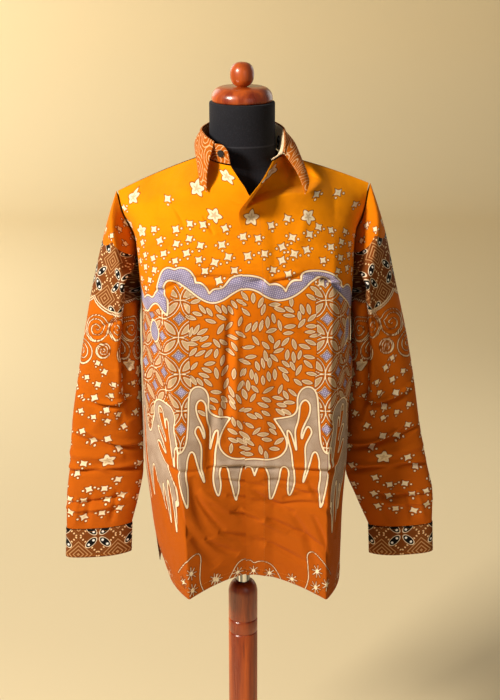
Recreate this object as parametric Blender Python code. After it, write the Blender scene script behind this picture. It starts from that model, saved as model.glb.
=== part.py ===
"""A long-sleeved batik shirt on a limbless dress form with a turned wooden stand.

Metres, +Z up. The front faces -Y, so the wearer's right side is at -X. The origin is the centre of
the stand base's underside. Each cloth piece is an open sheet made from a few named sections and
thickened by a Solidify modifier. The wooden, metal and jersey pieces of the form are solids of
revolution or lofts.
"""

import math

import bpy
import numpy as np

MM = 0.001
GAP = 0.0003  # between pieces that touch

# Cloth sizes
CLOTH = 0.0015  # thickness of fronts, back, sleeves and collar leaf
STIFF_CLOTH = 0.0022  # thickness of the interfaced collar stand and cuffs
FLY_CLOTH = 0.0012
LAP_OUT, FLY_OUT, UNDERLAP_IN = 0.0034, 0.0010, 0.0012  # layers of the concealed placket
LAP_SHARE, LAP_FADE = 0.16, 0.10  # width of the lap, and of the run-out beyond it
NECKLINE_CENTRE_Y = -0.012
NECKLINE_WIDE = 0.0625  # half-width of the neckline ring
NECKLINE_FRONT, NECKLINE_BACK = 0.077, 0.080  # its reach to the front and to the back
SEAM_SHARE, SEAM_DROP = 0.0016, 0.0011  # fronts and back stop this far from their seam lines
SLEEVE_OFF = (0.0024, -0.0008)  # the sleeve starts this far outside the armhole seam, and below it

# Shares of the half width (0 at centre front, 1 at the side seam) for the neck point and the
# vertical pressed crease
NECK_SHARE, CREASE_SHARE = 0.30, 0.64

# Shoulder tips and their height, wearer's right and left
TIP_RIGHT, TIP_LEFT = (-0.210, 0.0, 1.361), (0.213, 0.0, 1.375)
NECK_POINT_Z = 1.425

# Body sections, in mm. Each row is one distance down the cloth from the neckline.
# Columns: drop | centre y, z | crease y, z | seam y, z | x of right seam, right crease, centre,
# left crease, left seam | curl of the centre (1 straight, 2 round) | bulge of the side part
FRONT_SECTIONS = np.array([
    [45, -106, 1383, -62, 1358, -22, 1328, -199, -136, 16, 151, 202, 2.4, 9],
    [115, -121, 1312, -98, 1298, -16, 1275, -178, -132, 18, 151, 185, 2.4, 16],
    [185, -127, 1242, -114, 1238, -4, 1218, -173, -131, 18, 151, 183, 2.2, 17],
    [262, -125, 1165, -118, 1163, 2, 1160, -174, -126, 18, 150, 184, 2.0, 14],
    [377, -122, 1050, -125, 1049, 2, 1048, -176, -118, 18, 149, 186, 1.8, 12],
    [510, -119, 917, -136, 915, 4, 913, -178, -107, 18, 147, 184, 1.6, 14],
    [625, -113, 803, -145, 797, 4, 793, -168, -99, 18, 146, 177, 1.6, 12],
    [680, -110, 749, -149, 736, 2, 725, -160, -96, 18, 146, 175, 1.6, 12],
    [735, -107, 697, -151, 669, -16, 664, -138, -93, 18, 146, 176, 1.6, 9],
])
BACK_SECTIONS = np.array([
    [45, 92, 1400, 56, 1370, 36, 1328, -199, -140, 4, 152, 202, 2.2, 6],
    [115, 113, 1333, 95, 1310, 58, 1275, -178, -137, 4, 151, 185, 2.2, 10],
    [185, 119, 1264, 110, 1248, 46, 1218, -173, -135, 4, 150, 183, 2.2, 12],
    [262, 120, 1187, 117, 1172, 2, 1160, -174, -133, 4, 149, 184, 2.2, 11],
    [377, 116, 1072, 119, 1060, 2, 1048, -176, -131, 4, 148, 186, 1.8, 12],
    [510, 112, 939, 124, 925, 4, 913, -178, -128, 4, 146, 184, 1.6, 12],
    [625, 109, 825, 128, 808, 4, 793, -168, -124, 4, 145, 177, 1.6, 12],
    [680, 108, 763, 130, 744, 2, 725, -160, -122, 4, 145, 175, 1.6, 12],
    [735, 108, 702, 131, 680, 8, 664, -154, -120, 4, 144, 172, 1.6, 10],
])

# Free front edges as shares of the half width, against the drop in mm. Up to the V's bottom
# each edge opens to its own side, below it they overlap by the width of the placket.
EDGE_DROPS = (0, 25, 45, 80, 115, 185, 735)
RIGHT_EDGE = (-0.060, -0.058, -0.036, 0.045, 0.074, 0.077, 0.077)
LEFT_EDGE = (0.167, 0.082, -0.012, -0.094, -0.088, -0.074, -0.070)
# The left edge rolls forward like a lapel: how far, how wide, at what drop, and its reach
ROLL_OUT, ROLL_WIDTH, ROLL_DROP, ROLL_REACH = 0.013, 0.13, 0.050, 0.030

# Sleeve sections, in mm. Columns: outer x, z | inner x, z | y of the middle | half depth
RIGHT_SLEEVE_SECTIONS = np.array([
    [-222, 1330, -178, 1138, 2, 79],
    [-234, 1290, -179, 1105, 5, 74],
    [-256, 1205, -180, 1050, 10, 64],
    [-276, 1110, -180.5, 985, 18, 55],
    [-293, 1018, -180.5, 925, 24, 46],
    [-306, 937, -180.5, 880, 24, 36],
    [-314, 850, -181, 842, 17, 28],
    [-320, 795, -190, 795, 7, 23],
    [-322, 738, -203, 746, 0, 18],
])
LEFT_SLEEVE_SECTIONS = np.array([
    [231, 1330, 188.5, 1138, 2, 79],
    [243, 1290, 189.5, 1105, 5, 74],
    [263, 1205, 190.5, 1050, 10, 64],
    [286, 1110, 190.5, 985, 18, 55],
    [304, 1018, 189.5, 925, 24, 46],
    [317, 937, 188.5, 880, 24, 36],
    [333, 858, 186.5, 846, 17, 28],
    [345, 800, 206, 795, 7, 23],
    [345, 750, 230, 742, 0, 18],
])
# Powers of a sleeve ring's depth: fallen in at the front beside the body, square elsewhere
SLEEVE_HOLLOW, SLEEVE_SQUARE = 1.7, 0.58
CUFF_HEIGHT = 0.056
CUFF_LEAN = 0.003  # the cuff's bottom hangs this far outwards

# Collar. The ring angle is 0 at the front and grows towards the wearer's left.
STAND_FROM, STAND_TO = -17.5, -310.0  # degrees, from the wearer's right end round the back
STAND_TIP = 13.0  # degrees over which the stand's ends round down
# Leaf columns: ring angle | fold x, y, z (mm) | where the outer edge lies on the body: share,
# drop (mm, negative on the back) and lift off it (mm)
LEAF_SECTIONS = np.array([
    [-41, -44, -71, 1453, -0.300, 46, 5],
    [-66, -59, -42, 1459, -0.345, 27, 5],
    [-95, -66, -8, 1464, -0.350, 0, 5],
    [-140, -44, 48, 1470, -0.230, -12, 5],
    [-180, 0, 69, 1474, 0.0, -15, 5],
    [-220, 45, 48, 1470, 0.240, -12, 5],
    [-265, 68, -8, 1464, 0.430, 0, 6],
    [-290, 69, -34, 1450, 0.445, 27, 7],
    [-302, 67, -50, 1434, 0.392, 48, 7],
])
COLLAR_BUTTON_ANGLE, COLLAR_BUTTON_RISE = -31.0, 0.017
BUTTON_RADIUS, BUTTON_THICK = 0.0058, 0.0026

# Dress form. Torso columns: z | half width | half depth to the front, to the back (mm) | squareness
TORSO_SECTIONS = np.array([
    [768, 100, 70, 70, 2.2],
    [772, 128, 88, 88, 2.2],
    [784, 140, 94, 95, 2.3],
    [830, 154, 100, 103, 2.3],
    [930, 156, 100, 100, 2.3],
    [1040, 146, 97, 90, 2.3],
    [1150, 158, 107, 98, 2.3],
    [1230, 166, 110, 104, 2.3],
    [1290, 172, 100, 100, 2.3],
    [1330, 174, 84, 84, 2.2],
    [1352, 160, 68, 70, 2.1],
    [1372, 128, 62, 66, 2.1],
    [1391, 90, 58, 58, 2.0],
    [1408, 66, 55, 53, 2.0],
    [1422, 56.5, 55, 54, 2.0],
    [1443, 55.5, 55.5, 55.5, 2.0],
    [1480, 54.5, 54.5, 54.5, 2.0],
    [1510, 54.5, 54.5, 54.5, 2.0],
])
# Neck cap: radius, height above the neck (mm)
CAP_PROFILE = np.array([
    [47.5, 0.3], [49.6, 1.6], [50.5, 5.0], [50.2, 9.5], [48.6, 14.5], [45.3, 19.0], [40.5, 22.6],
    [36.5, 24.0],
])
# Ball finial: radius, half height, centre, and squareness of its barrel shape
BALL_RADIUS, BALL_HALF_HEIGHT, BALL_CENTRE_Z, BALL_SQUARE = 0.0197, 0.0202, 1.5541, 2.5
TUBE_RADIUS = 0.0125
COLUMN_RADIUS, COLUMN_TOP, DOME_HEIGHT = 0.027, 0.628, 0.024
GROOVE_HEIGHTS = (0.524, 0.5515)
BASE_RADIUS, BASE_HEIGHT = 0.190, 0.028
ROUND_SIDES = 40


def smooth(at, places, values, pointwise=False):
    """Values along a monotone cubic through the places, for places in rising order. Pointwise,
    the values hold one curve for each entry of at, and each entry reads its own."""
    places, values = np.asarray(places, float), np.asarray(values, float)
    at = np.asarray(at, float)
    step = np.diff(places)
    slope = np.diff(values, axis=0) / step.reshape(-1, *[1] * (values.ndim - 1))
    before, after = slope[:-1], slope[1:]
    with np.errstate(divide="ignore", invalid="ignore"):
        inner = np.where(before * after > 0, 2 * before * after / (before + after), 0.0)
    tangent = np.concatenate([slope[:1], inner, slope[-1:]])
    i = np.clip(np.searchsorted(places, at, side="right") - 1, 0, len(step) - 1)
    first = (i, np.arange(len(at))) if pointwise else (i,)
    second = (i + 1, *first[1:])
    shape = at.shape + (1,) * (values[first].ndim - at.ndim)
    h = step[i].reshape(shape)
    f = ((at - places[i]) / step[i]).reshape(shape)
    return (
        (1 + 2 * f) * (1 - f) ** 2 * values[first]
        + f * (1 - f) ** 2 * h * tangent[first]
        + f * f * (3 - 2 * f) * values[second]
        - f * f * (1 - f) * h * tangent[second]
    )


def neck_ring(angle):
    """A point of the neckline, for an angle in degrees from the front."""
    turn = np.radians(angle)
    reach = np.where(np.cos(turn) > 0, NECKLINE_FRONT, NECKLINE_BACK)
    rise = np.where(np.cos(turn) > 0, -0.005, 0.016)
    return np.stack([
        NECKLINE_WIDE * np.sin(turn),
        NECKLINE_CENTRE_Y - reach * np.cos(turn),
        NECK_POINT_Z + rise * np.cos(turn) ** 2,
    ], axis=-1)


def top_row(share, back):
    """The neckline and both shoulder seams, for shares from -1 (right tip) to 1 (left tip)."""
    side = np.where(share < 0, -1.0, 1.0)
    inner = np.clip(np.abs(share) / NECK_SHARE, 0, 1) * 90
    ring = neck_ring(side * (180 - inner if back else inner))
    neck = neck_ring(side * 90)
    tip = np.where(share[..., None] < 0, np.array(TIP_RIGHT), np.array(TIP_LEFT))
    along = np.clip((np.abs(share) - NECK_SHARE) / (1 - NECK_SHARE), 0, 1)[..., None]
    shoulder = neck + (tip - neck) * along
    shoulder[..., 2:] += 0.012 * along * (1 - along)
    return np.where(along > 0, shoulder, ring)


def body_row(share, row):
    """One horizontal section of the shirt's body: centre part, pressed crease and side part."""
    _, cy, cz, ry, rz, sy, sz, right_seam, right_crease, cx, left_crease, left_seam, curl, bulge = row
    right = (share < 0)[..., None]
    centre = np.array([cx, cy, cz])
    crease = np.where(right, np.array([right_crease, ry, rz]), np.array([left_crease, ry, rz]))
    seam = np.where(right, np.array([right_seam, sy, sz]), np.array([left_seam, sy, sz]))
    part = np.clip(np.abs(share) / CREASE_SHARE, 0, 1)[..., None]
    flat = centre + (crease - centre) * part ** np.array([1, curl, curl])
    side = np.clip((np.abs(share) - CREASE_SHARE) / (1 - CREASE_SHARE), 0, 1)[..., None]
    chord = seam - crease
    out = np.abs(chord[..., 1::-1]) * np.sign(seam[..., :1] * [1, 0] + cy * np.array([0, 1]))
    out /= np.linalg.norm(out, axis=-1, keepdims=True)
    wall = crease + chord * side
    wall[..., :2] += 4 * bulge * side * (1 - side) * out
    return np.where(side > 0, wall, flat) * MM


def body_surface(share, drop, back=False):
    """Points of the shirt's body for shares of the half width and drops in metres."""
    share, drop = np.broadcast_arrays(np.asarray(share, float), np.asarray(drop, float))
    sections = BACK_SECTIONS if back else FRONT_SECTIONS
    flat = share.ravel()
    rows = np.stack([top_row(flat, back)] + [body_row(flat, row) for row in sections])
    places = np.concatenate([[0], sections[:, 0] * MM])
    return smooth(drop.ravel(), places, rows, pointwise=True).reshape(share.shape + (3,))


def outward(grid):
    """Unit normals of a grid of points, on the side away from the form's axis."""
    normal = np.cross(np.gradient(grid, axis=1), np.gradient(grid, axis=0))
    normal /= np.maximum(np.linalg.norm(normal, axis=-1, keepdims=True), 1e-12)
    middle = grid.reshape(-1, 3).mean(axis=0) * np.array([1, 1, 0])
    return normal * np.sign(np.sum(normal.mean(axis=(0, 1)) * middle))


def front_sheet(left, across, down, out, fade_out=True):
    """A front panel: the shares run from its free edge to its side seam."""
    edge = smooth(down, np.array(EDGE_DROPS) * MM, LEFT_EDGE if left else RIGHT_EDGE)[:, None]
    shares = edge + ((1 if left else -1) - edge) * across
    drops = np.repeat(down[:, None], across.size, axis=1)
    grid = body_surface(shares, drops)
    inward = np.abs(shares - edge)
    lap = np.clip(1 - (inward - LAP_SHARE) / LAP_FADE, 0, 1) if fade_out else np.ones(inward.shape)
    grid += outward(grid) * (out * lap * lap * (3 - 2 * lap))[..., None]
    if left:
        roll = np.exp(-((inward / ROLL_WIDTH) ** 2) - ((drops - ROLL_DROP) / ROLL_REACH) ** 2)
        grid[..., 1] -= ROLL_OUT * roll
    return grid


def named_material(name, colour, roughness, metallic=0.0):
    material = bpy.data.materials.new(name)
    material.use_nodes = True
    shader = material.node_tree.nodes["Principled BSDF"]
    shader.inputs["Base Color"].default_value = (*colour, 1.0)
    shader.inputs["Roughness"].default_value = roughness
    shader.inputs["Metallic"].default_value = metallic
    return material


def add_object(name, points, faces, material):
    mesh = bpy.data.meshes.new(name)
    mesh.from_pydata([tuple(map(float, point)) for point in points], [], faces)
    mesh.materials.append(material)
    mesh.shade_smooth()
    mesh.set_sharp_from_angle(angle=math.radians(40))
    piece = bpy.data.objects.new(name, mesh)
    bpy.context.scene.collection.objects.link(piece)
    return piece


def add_sheet(name, grid, thickness, material, closed=False):
    """An open sheet (or a tube, if closed) of quads, thickened evenly to both sides."""
    rows, columns = grid.shape[:2]
    last = columns if closed else columns - 1
    faces = [
        (i * columns + j, i * columns + (j + 1) % columns,
         (i + 1) * columns + (j + 1) % columns, (i + 1) * columns + j)
        for i in range(rows - 1) for j in range(last)
    ]
    piece = add_object(name, grid.reshape(-1, 3), faces, material)
    wall = piece.modifiers.new("Cloth thickness", "SOLIDIFY")
    wall.thickness = thickness
    wall.offset = 0.0
    return piece


def add_loft(name, rings, material):
    """A closed solid through rings of equal length, listed from the bottom up."""
    count, sides = rings.shape[:2]
    faces = [
        (i * sides + j, i * sides + (j + 1) % sides,
         (i + 1) * sides + (j + 1) % sides, (i + 1) * sides + j)
        for i in range(count - 1) for j in range(sides)
    ]
    faces.append(tuple(reversed(range(sides))))
    faces.append(tuple(range((count - 1) * sides, count * sides)))
    return add_object(name, rings.reshape(-1, 3), faces, material)


def add_turned(name, profile, material, sides=ROUND_SIDES):
    """A solid of revolution about Z from (radius, z) pairs, listed from the bottom up."""
    turn = np.linspace(0, 2 * np.pi, sides, endpoint=False)
    circle = np.stack([np.cos(turn), np.sin(turn), np.zeros(sides)], axis=-1)
    rings = np.array([circle * radius + np.array([0, 0, z]) for radius, z in profile])
    return add_loft(name, rings, material)


def rounded_rim(radius, z, corner):
    """(radius, z) pairs of a rounded outer corner below a flat top."""
    turns = np.linspace(0, np.pi / 2, 5)
    return [(radius - corner * (1 - math.cos(t)), z - corner * (1 - math.sin(t))) for t in turns]


def add_fronts(batik, fly_cloth):
    down = np.concatenate([np.linspace(SEAM_DROP, 0.262, 12), np.linspace(0.262, 0.735, 10)[1:]])
    near = np.array([0.0, 0.04, 0.10, 0.18, 0.28, 0.38, 0.49, 0.60])
    across = np.concatenate([near, np.linspace(0.66, 1.0 - SEAM_SHARE, 6)])
    add_sheet("front_right", front_sheet(False, across, down, -UNDERLAP_IN), CLOTH, batik)
    add_sheet("front_left", front_sheet(True, across, down, LAP_OUT), CLOTH, batik)
    fly_across = np.array([0.004, 0.03, 0.07, 0.11, 0.138])
    fly_down = down[1:-1]
    fly = front_sheet(True, fly_across, fly_down, FLY_OUT, fade_out=False)
    add_sheet("fly_left", fly, FLY_CLOTH, fly_cloth)


def add_back(batik):
    down = np.concatenate([np.linspace(SEAM_DROP, 0.262, 11), np.linspace(0.262, 0.735, 9)[1:]])
    half = np.array([0, 0.10, 0.20, NECK_SHARE, 0.42, 0.54, CREASE_SHARE, 0.73, 0.82, 0.91, 1 - SEAM_SHARE])
    shares = np.concatenate([-half[:0:-1], half])
    grid = body_surface(shares[None, :], down[:, None], back=True)
    add_sheet("back", grid, CLOTH, batik)


def sleeve_rings(left):
    """Rings of the sleeve, from just outside the armhole seam to the cuff seam."""
    sides = 20
    turn = np.linspace(0, 2 * np.pi, sides, endpoint=False)
    drops = 0.262 * (1 - np.cos(turn)) / 2
    share = np.full(sides, 1.0 if left else -1.0)
    front = body_surface(share, drops)
    armhole = np.where((turn <= np.pi)[:, None], front, body_surface(share, drops, back=True))
    off, below = SLEEVE_OFF
    armhole = armhole + np.array([off if left else -off, 0, below])
    rings = [armhole]
    for ox, oz, ix, iz, y, depth in (LEFT_SLEEVE_SECTIONS if left else RIGHT_SLEEVE_SECTIONS) * MM:
        outer, inner = np.array([ox, y, oz]), np.array([ix, y, iz])
        across = np.sign(np.cos(turn)) * np.abs(np.cos(turn)) ** 0.85
        ring = inner + (outer - inner) * (1 + across)[:, None] / 2
        power = np.where((np.sin(turn) > 0) & (np.cos(turn) < 0), SLEEVE_HOLLOW, SLEEVE_SQUARE)
        ring[:, 1] -= depth * np.sign(np.sin(turn)) * np.abs(np.sin(turn)) ** power
        rings.append(ring)
    places = np.arange(len(rings))
    return smooth(np.linspace(0, places[-1], 16), places, np.array(rings))


def add_sleeve(side, batik, cuff_cloth, button):
    rings = sleeve_rings(side == "left")
    add_sheet(f"sleeve_{side}", rings, CLOTH, batik, closed=True)
    wrist = rings[-1]
    out = 1 if side == "left" else -1
    drops = np.array([0.0016, 0.019, 0.038, CUFF_HEIGHT + 0.0016])
    cuff = np.array([
        wrist + np.array([out * CUFF_LEAN * drop / CUFF_HEIGHT, 0, -drop]) for drop in drops
    ])
    add_sheet(f"cuff_{side}", cuff, STIFF_CLOTH, cuff_cloth, closed=True)
    seat = cuff[1:3].mean(axis=0)
    seat = seat[np.argmax(seat[:, 1])]
    flat = STIFF_CLOTH / 2 + 0.0016
    add_button(f"cuff_button_{side}", seat + np.array([0, flat, 0]), np.array([0, 1.0, 0]), button)


def add_button(name, centre, axis, material):
    """A round button whose back face is at the centre point and whose front looks along the axis."""
    axis = axis / np.linalg.norm(axis)
    side = np.cross(axis, [0, 0, 1.0])
    side /= np.linalg.norm(side)
    up = np.cross(side, axis)
    turn = np.linspace(0, 2 * np.pi, 20, endpoint=False)
    circle = np.cos(turn)[:, None] * side + np.sin(turn)[:, None] * up
    rim = ((0.90, 0.0), (1.0, 0.25), (1.0, 0.75), (0.88, 1.0))
    rings = np.array([
        centre + circle * BUTTON_RADIUS * wide + axis * BUTTON_THICK * deep for wide, deep in rim
    ])
    return add_loft(name, rings[:, ::-1], material)


def leaf_lines(angles):
    """The collar leaf's fold line and its outer edge, lifted off the shirt, for ring angles."""
    sections = LEAF_SECTIONS[::-1]
    values = smooth(angles, sections[:, 0], sections[:, 1:])
    fold, share, drop, lift = values[:, :3] * MM, values[:, 3], values[:, 4] * MM, values[:, 5] * MM
    step = 0.002
    reach = np.abs(drop)
    edge = np.where((drop < 0)[:, None], body_surface(share, reach, True), body_surface(share, reach))
    below = np.where((drop < 0)[:, None], body_surface(share, reach + step, True),
                     body_surface(share, reach + step))
    beside = np.where((drop < 0)[:, None], body_surface(share + step, reach, True),
                      body_surface(share + step, reach))
    normal = np.cross(beside - edge, below - edge)
    normal *= np.where(normal[:, 2:] < 0, -1, 1)
    normal /= np.linalg.norm(normal, axis=-1, keepdims=True)
    return fold, edge + normal * lift[:, None]


def add_collar(stand_cloth, leaf_cloth, button):
    angles = np.linspace(STAND_FROM, STAND_TO, 37)
    seam = neck_ring(angles) + np.array([0, 0, 0.0018])
    inside = np.clip(angles, LEAF_SECTIONS[-1, 0], LEAF_SECTIONS[0, 0])
    fold = leaf_lines(inside)[0]
    fold[:, :2] += neck_ring(angles)[:, :2] - neck_ring(inside)[:, :2]
    end = np.minimum(np.abs(angles - STAND_FROM), np.abs(angles - STAND_TO))
    rounded = 1 - (1 - np.clip(end / STAND_TIP, 0, 1)) ** 2
    height = 0.25 + 0.75 * np.sqrt(rounded)
    rows = np.array([0.0, 0.3, 0.65, 1.0])
    stand = seam + (fold - seam) * height[:, None] * rows[:, None, None]
    add_sheet("collar_stand", stand, STIFF_CLOTH, stand_cloth)

    angles = np.linspace(LEAF_SECTIONS[0, 0], LEAF_SECTIONS[-1, 0], 33)
    fold, edge = leaf_lines(angles)
    out = fold - np.array([0, NECKLINE_CENTRE_Y, 0])
    out[:, 2] = 0
    out /= np.linalg.norm(out, axis=-1, keepdims=True)
    up = np.array([0, 0, 1.0])
    leaf = [
        fold + up * 0.0022,
        fold + out * 0.0026 + up * 0.0012,
        fold + out * 0.0042 - up * 0.0040,
    ]
    start = leaf[-1]
    for share in (0.25, 0.5, 0.75, 1.0):
        leaf.append(start + (edge - start) * share + out * 0.006 * math.sin(math.pi * share))
    add_sheet("collar_leaf", np.array(leaf), CLOTH, leaf_cloth)

    angle = np.array([COLLAR_BUTTON_ANGLE])
    seat = neck_ring(angle)[0] + np.array([0, 0, COLLAR_BUTTON_RISE])
    look = seat - np.array([0, NECKLINE_CENTRE_Y, seat[2]])
    look /= np.linalg.norm(look)
    add_button("collar_button", seat + look * (STIFF_CLOTH / 2 + 0.0026), look, button)


def add_form(jersey, wood, chrome):
    turn = np.linspace(0, 2 * np.pi, ROUND_SIDES, endpoint=False)
    rings = []
    for z, wide, front, back, square in TORSO_SECTIONS:
        power = 2 / square
        x = wide * np.sign(np.cos(turn)) * np.abs(np.cos(turn)) ** power
        deep = np.where(np.sin(turn) < 0, front, back)
        y = deep * np.sign(np.sin(turn)) * np.abs(np.sin(turn)) ** power
        rings.append(np.stack([x, y, np.full(ROUND_SIDES, z)], axis=-1) * MM)
    add_loft("form_torso", np.array(rings), jersey)
    neck_top = TORSO_SECTIONS[-1, 0] * MM
    torso_bottom = TORSO_SECTIONS[0, 0] * MM

    add_turned("neck_cap", CAP_PROFILE * MM + np.array([0, neck_top]), wood)
    cap_top = neck_top + CAP_PROFILE[-1, 1] * MM

    turns = np.linspace(-1.15, math.pi / 2 - 0.08, 11)
    ball = [(BALL_RADIUS * math.cos(t) ** (2 / BALL_SQUARE),
             BALL_CENTRE_Z + BALL_HALF_HEIGHT * np.sign(t) * abs(math.sin(t)) ** (2 / BALL_SQUARE))
            for t in turns]
    add_turned("finial", [(0.0085, cap_top + GAP)] + ball, wood, 24)

    post_low = COLUMN_TOP + GAP
    add_turned("post", [(TUBE_RADIUS, post_low), (TUBE_RADIUS, torso_bottom - GAP)], chrome, 28)

    column = [(COLUMN_RADIUS * 1.25, BASE_HEIGHT + GAP), (COLUMN_RADIUS * 1.25, BASE_HEIGHT + 0.008),
              (COLUMN_RADIUS, BASE_HEIGHT + 0.014)]
    for height in GROOVE_HEIGHTS:
        column += [(COLUMN_RADIUS, height - 0.0022), (COLUMN_RADIUS - 0.0016, height),
                   (COLUMN_RADIUS, height + 0.0022)]
    shoulder = COLUMN_TOP - DOME_HEIGHT
    column += [
        (0.013 + (COLUMN_RADIUS - 0.013) * math.cos(t), shoulder + DOME_HEIGHT * math.sin(t))
        for t in np.linspace(0, math.pi / 2, 8)
    ]
    add_turned("column", column, wood, 28)

    foot = [(BASE_RADIUS, 0.0)] + rounded_rim(BASE_RADIUS, BASE_HEIGHT, 0.010)
    add_turned("base", foot, wood, 48)


def main():
    for piece in list(bpy.data.objects):
        bpy.data.objects.remove(piece)
    batik = named_material("batik", (0.72, 0.29, 0.03), 0.75)
    cuff_cloth = named_material("cuff_cloth", (0.40, 0.17, 0.06), 0.75)
    stand_cloth = named_material("stand_cloth", (0.62, 0.36, 0.15), 0.75)
    leaf_cloth = named_material("leaf_cloth", (0.70, 0.32, 0.08), 0.75)
    fly_cloth = named_material("fly_cloth", (0.66, 0.28, 0.05), 0.75)
    black = named_material("black_button", (0.015, 0.013, 0.012), 0.25)
    jersey = named_material("jersey", (0.045, 0.045, 0.055), 0.85)
    wood = named_material("varnished_wood", (0.32, 0.06, 0.02), 0.18)
    chrome = named_material("chrome", (0.75, 0.75, 0.76), 0.12, metallic=1.0)
    add_form(jersey, wood, chrome)
    add_fronts(batik, fly_cloth)
    add_back(batik)
    for side in ("right", "left"):
        add_sleeve(side, batik, cuff_cloth, black)
    add_collar(stand_cloth, leaf_cloth, black)


main()
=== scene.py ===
"""The looks of a batik shirt on a limbless dress form with a turned wooden stand."""

import math

import bpy
import numpy as np
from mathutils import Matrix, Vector


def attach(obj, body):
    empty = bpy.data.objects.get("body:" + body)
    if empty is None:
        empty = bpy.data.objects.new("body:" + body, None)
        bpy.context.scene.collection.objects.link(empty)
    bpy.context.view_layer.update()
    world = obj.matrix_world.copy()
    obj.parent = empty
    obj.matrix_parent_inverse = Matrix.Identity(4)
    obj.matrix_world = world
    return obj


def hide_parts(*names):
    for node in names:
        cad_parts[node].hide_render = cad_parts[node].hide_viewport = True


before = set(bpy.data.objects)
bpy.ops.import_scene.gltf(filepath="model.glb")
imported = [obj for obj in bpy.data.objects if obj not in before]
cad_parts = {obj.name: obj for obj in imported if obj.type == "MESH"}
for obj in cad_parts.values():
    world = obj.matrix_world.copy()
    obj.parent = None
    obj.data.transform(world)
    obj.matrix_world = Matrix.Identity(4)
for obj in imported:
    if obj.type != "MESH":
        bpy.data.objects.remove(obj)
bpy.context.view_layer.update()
MM = 0.001

# ---------------------------------------------------------------------------------------------
# Camera, studio light and backdrop. The camera looks at the shirt's front from a little above the
# collar. A soft key stands to the upper left, with weaker fills on the right and behind, and one
# lamp lights the left of the far wall.
# ---------------------------------------------------------------------------------------------
scene = bpy.context.scene
camera_data = bpy.data.cameras.new("camera")
CAMERA_PLACE, CAMERA_TILT_DOWN, SENSOR_WIDTH, LENS = (0.013, -2.26, 1.838), 18.6, 36.0, 70.05
camera_data.sensor_width = SENSOR_WIDTH
camera_data.lens = LENS
camera = bpy.data.objects.new("camera", camera_data)
camera.location = CAMERA_PLACE
camera.rotation_euler = (math.radians(90 - CAMERA_TILT_DOWN), 0.0, 0.0)
scene.collection.objects.link(camera)
scene.camera = camera
scene.view_settings.view_transform = "Standard"

# name | place | aim | size | power | colour
LAMPS = (
    ("key", (-2.05, -1.75, 2.65), (0.0, 0.0, 1.20), 0.60, 150, (1.0, 0.93, 0.82)),
    ("fill", (1.4, -3.0, 1.9), (0.0, 0.0, 1.0), 1.8, 6, (1.0, 0.96, 0.92)),
    ("back_left", (-1.6, 2.2, 2.2), (0.0, 0.0, 1.1), 1.6, 16, (1.0, 0.98, 0.95)),
    ("back_right", (1.8, 2.0, 1.8), (0.0, 0.0, 1.1), 1.6, 10, (1.0, 0.98, 0.95)),
    ("wall", (-3.2, 3.0, 2.4), (-2.4, 6.0, 0.6), 2.0, 140, (1.0, 0.95, 0.86)),
)
for name, place, aim, size, power, colour in LAMPS:
    lamp_data = bpy.data.lights.new(name, "AREA")
    lamp_data.size = size
    lamp_data.energy = power
    lamp_data.color = colour
    lamp = bpy.data.objects.new(name, lamp_data)
    lamp.location = place
    lamp.rotation_euler = (Vector(aim) - Vector(place)).to_track_quat("-Z", "Y").to_euler()
    scene.collection.objects.link(lamp)

world = bpy.data.worlds.new("studio")
world.use_nodes = True
surround = world.node_tree.nodes["Background"]
surround.inputs["Color"].default_value = (0.90, 0.84, 0.74, 1.0)
surround.inputs["Strength"].default_value = 0.20
scene.world = world


class Shade:
    """A node socket that can be added, multiplied and compared, to write a material as sums."""

    def __init__(self, tree, socket):
        self.tree, self.socket = tree, socket

    def node(self, kind, settings=None, inputs=None, output=0):
        made = self.tree.nodes.new(kind)
        for key, value in (settings or {}).items():
            if key == "stops":
                ramp = made.color_ramp
                while len(ramp.elements) < len(value):
                    ramp.elements.new(0.5)
                for element, (place, tint) in zip(ramp.elements, value):
                    element.position, element.color = place, (*tint, 1.0)
            else:
                setattr(made, key, value)
        for key, value in (inputs or {}).items():
            if isinstance(value, Shade):
                self.tree.links.new(value.socket, made.inputs[key])
            elif value is not None:
                made.inputs[key].default_value = value
        return Shade(self.tree, made.outputs[output])

    def maths(self, operation, *values):
        return self.node("ShaderNodeMath", {"operation": operation}, dict(enumerate(values)))

    def __add__(self, other): return self.maths("ADD", self, other)
    def __radd__(self, other): return self.maths("ADD", other, self)
    def __sub__(self, other): return self.maths("SUBTRACT", self, other)
    def __rsub__(self, other): return self.maths("SUBTRACT", other, self)
    def __mul__(self, other): return self.maths("MULTIPLY", self, other)
    def __rmul__(self, other): return self.maths("MULTIPLY", other, self)

    def ramp(self, low, high, to_low=0.0, to_high=1.0):
        return self.node("ShaderNodeMapRange", {"interpolation_type": "SMOOTHSTEP"}, {
            "Value": self, "From Min": low, "From Max": high, "To Min": to_low, "To Max": to_high})

    def mix(self, first, second, blend="MIX"):
        """The first colour where this mask is 0 and the second where it is 1."""
        made = self.tree.nodes.new("ShaderNodeMix")
        made.data_type, made.blend_type = "RGBA", blend
        self.tree.links.new(self.socket, made.inputs["Factor"])
        for key, value in ((6, first), (7, second)):
            if isinstance(value, Shade):
                self.tree.links.new(value.socket, made.inputs[key])
            else:
                made.inputs[key].default_value = (*value, 1.0)
        return Shade(self.tree, made.outputs[2])


def new_material(name, roughness=0.8, metallic=0.0, **constants):
    """A material, its shader node and a Shade to start expressions from."""
    material = bpy.data.materials.new(name)
    material.use_nodes = True
    tree = material.node_tree
    shader = tree.nodes["Principled BSDF"]
    shader.inputs["Roughness"].default_value = roughness
    shader.inputs["Metallic"].default_value = metallic
    for key, value in constants.items():
        shader.inputs[key.replace("_", " ").title().replace("Ior", "IOR")].default_value = value
    return material, shader, Shade(tree, None)


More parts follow.
